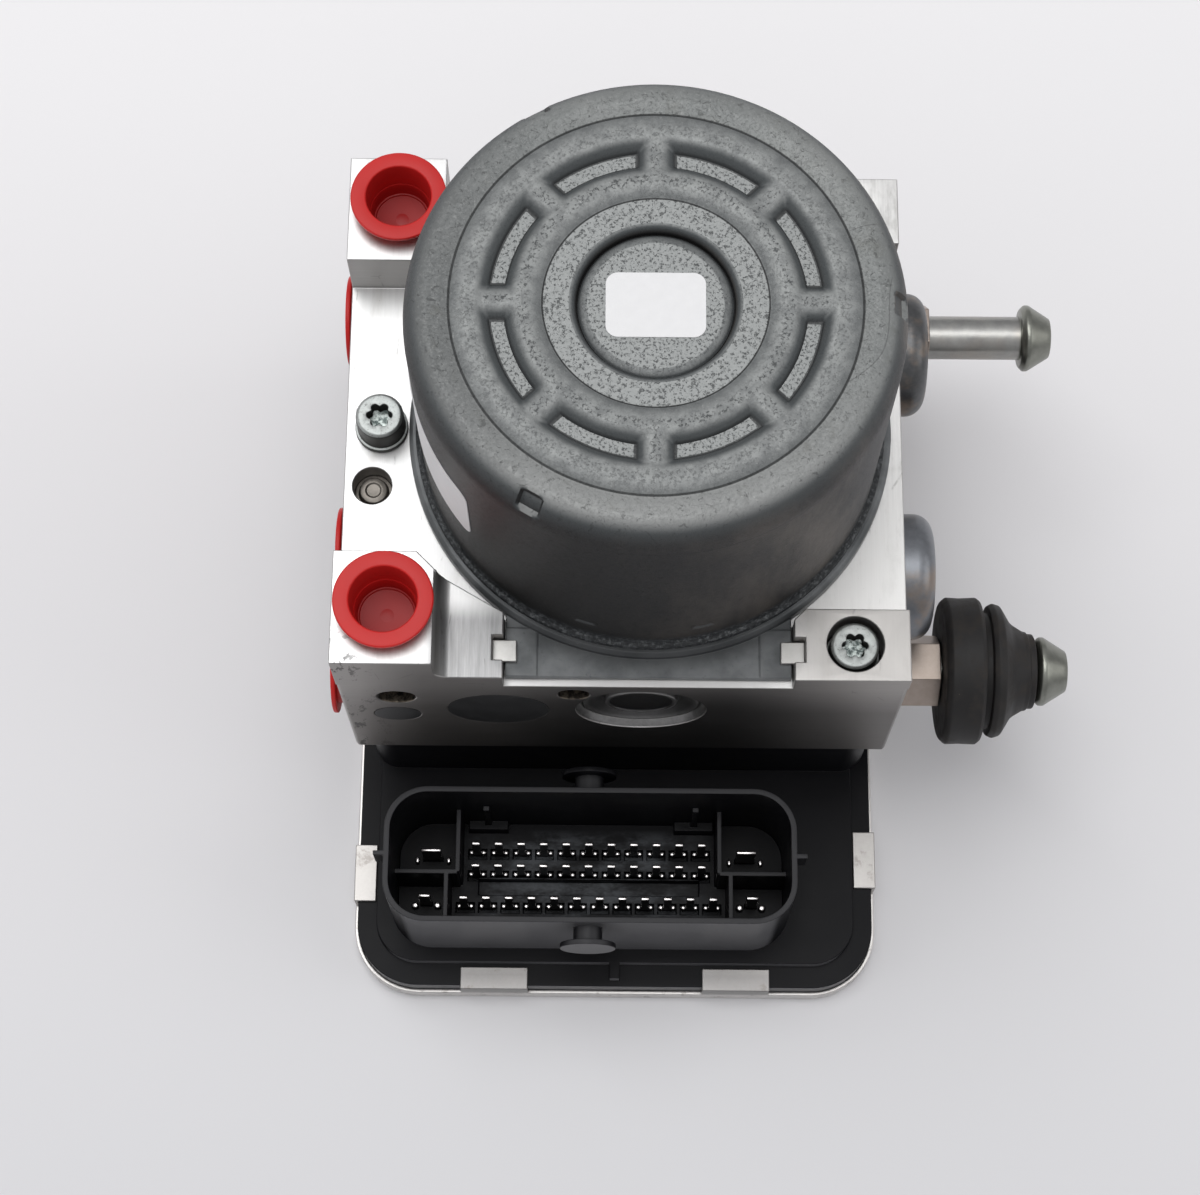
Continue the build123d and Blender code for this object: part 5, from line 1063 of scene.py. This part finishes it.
def turned_pieces():
    for node, place, turn, stand in CAPS:
        add_turned(node, cap_outline(stand), 96, place, turn)
    add_turned("mount_grommet", GROMMET_OUTLINE, 160, GROMMET_PLACE, ALONG_X, rubber_waves,
               "grommet_shape")
    add_turned("front_pump_plug", PUMP_PLUG_OUTLINE, 128, (PUMP_X, FRONT_PUMP_Y, PUMP_Z), TO_FRONT)
    add_turned("back_pump_plug", PUMP_PLUG_OUTLINE, 128, (PUMP_X, BACK_PUMP_Y, PUMP_Z), TO_BACK)
    add_turned("bleed_plug", BLEED_OUTLINE, 64, BLEED_PLACE)


# ---- stickers and contacts ----

LABEL_LOW, LABEL_HIGH = 93.95, 111.65
LABEL_START, LABEL_SPAN = math.radians(183.0), math.radians(38.7)
LABEL_R, LABEL_THICK, LABEL_CORNER = CAN_R + 0.02, 0.15, 2.2


def side_label():
    """The blank side sticker: a thin sheet bent round the can's wall, with rounded corners."""
    corner = LABEL_CORNER
    width = LABEL_SPAN * LABEL_R
    ease = np.linspace(0, math.pi / 2, 7)
    middle = np.linspace(corner, width - corner, 15)[1:-1]
    left = np.sort(corner * (1 - np.cos(ease)))
    along = np.concatenate((left, middle, np.sort(width - left)))
    inset = np.maximum(0, np.maximum(corner - along, along - width + corner))
    cut = corner - np.sqrt(np.maximum(corner ** 2 - inset ** 2, 0))
    angles = LABEL_START + along / LABEL_R
    low, high = LABEL_LOW + cut, LABEL_HIGH - cut
    outer = LABEL_R + LABEL_THICK
    rings = [to_places(radius, angles, heights)
             for radius, heights in ((LABEL_R, low), (LABEL_R, high), (outer, high), (outer, low))]
    count = len(along)
    faces = []
    for ring in range(4):
        a, b = ring * count, (ring + 1) % 4 * count
        faces += [(a + i, a + i + 1, b + i + 1, b + i) for i in range(count - 1)]
    faces += [tuple(ring * count for ring in range(4)),
              tuple(ring * count + count - 1 for ring in range(3, -1, -1))]
    mesh = meshed("side_label", np.concatenate(rings), faces, True)
    smooth(mesh)
    add_piece("side_label", mesh, "side_sticker")


# the connector's middle, and its contacts from there
CONTACT_X, CONTACT_Y = -10.57, -69.2
PIN_PITCH = 4.36
PIN_ROWS = ((11, 6.0), (11, 1.7), (12, -4.6))
PIN_REACH, PIN_BACK = 1.17, 0.1
# half sizes, foot and top of the posts beside a pin
PIN_POST = (0.5, 0.5, 8.72, 10.5)
# for each pair of blades: x from the middle, y, reach of its posts, their half sizes
BLADES = ((30.4, 4.6, 3.05, 0.42, 0.72), (31.48, -4.3, 2.15, 0.74, 0.7))
BLADE_BACK = 0.5
BLADE_POST_FOOT, BLADE_POST_TOP = 9.95, 11.3
POST_SIDES = 16


def shoulder_post(verts, faces, x, y, half_x, half_y, foot, top):
    """Adds one small post with a domed top."""
    rows = [(1.0, foot), (1.0, top - 0.35), (0.93, top - 0.17), (0.72, top - 0.05), (0.4, top)]
    first = len(verts)
    for scale, z in rows:
        for index in range(POST_SIDES):
            angle = 2 * math.pi * index / POST_SIDES
            verts.append((x + half_x * scale * math.cos(angle), y + half_y * scale * math.sin(angle), z))
    last = first + (len(rows) - 1) * POST_SIDES
    for row in range(first, last, POST_SIDES):
        for index in range(POST_SIDES):
            a, b = row + index, row + (index + 1) % POST_SIDES
            faces.append((a, b, b + POST_SIDES, a + POST_SIDES))
    faces.append(tuple(range(last, last + POST_SIDES)))
    faces.append(tuple(range(first + POST_SIDES - 1, first - 1, -1)))


def contact_shoulders():
    """The rounded shoulders that stand beside each pin and blade in the connector."""
    verts, faces = [], []
    for count, row_y in PIN_ROWS:
        for index in range(count):
            x = CONTACT_X + (index - (count - 1) / 2) * PIN_PITCH
            for side in (-1, 1):
                shoulder_post(verts, faces, x + side * PIN_REACH, CONTACT_Y + row_y - PIN_BACK, *PIN_POST)
    for offset, y, reach, half_x, half_y in BLADES:
        for end in (-1, 1):
            for side in (-1, 1):
                shoulder_post(verts, faces, CONTACT_X + end * offset + side * reach,
                              CONTACT_Y + y - BLADE_BACK, half_x, half_y, BLADE_POST_FOOT, BLADE_POST_TOP)
    mesh = meshed("contact_shoulders", verts, faces)
    smooth(mesh, 50)
    add_piece("contact_shoulders", mesh, "signal_pins", replaces=False)


# ---- springs ----

def springs():
    """Copies of the springs, each with a mesh of its own."""
    for joint in frame["joints"]:
        for row in joint.get("deforming_nodes", ()):
            node, letter = row["node"], row["mode"][-1]
            mesh = copied(node, f"{node}_coil")
            smooth(mesh)
            piece = add_piece(f"{node}_coil", mesh, node)
            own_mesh(piece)


# width of each softened node's rounded edges, in metres
SOFT_EDGES = (
    ("valve_block", 0.00022), ("ecu_cover", 0.0002), ("motor_plate", 0.0002), ("motor_clamps", 0.00018),
    ("housing_screws", 0.00016), ("ecu_housing", 0.00018), ("front_stud", 0.0002), ("back_stud", 0.0002),
    ("signal_pins", 0.00012), ("power_blades", 0.00012),
)

make_camera()
make_materials()
make_light()
make_floor()
dress_nodes()

can_skin()
turned_pieces()
side_label()
contact_shoulders()
springs()
for node, width in SOFT_EDGES:
    softened(node, width)

scene.view_settings.view_transform = "Standard"
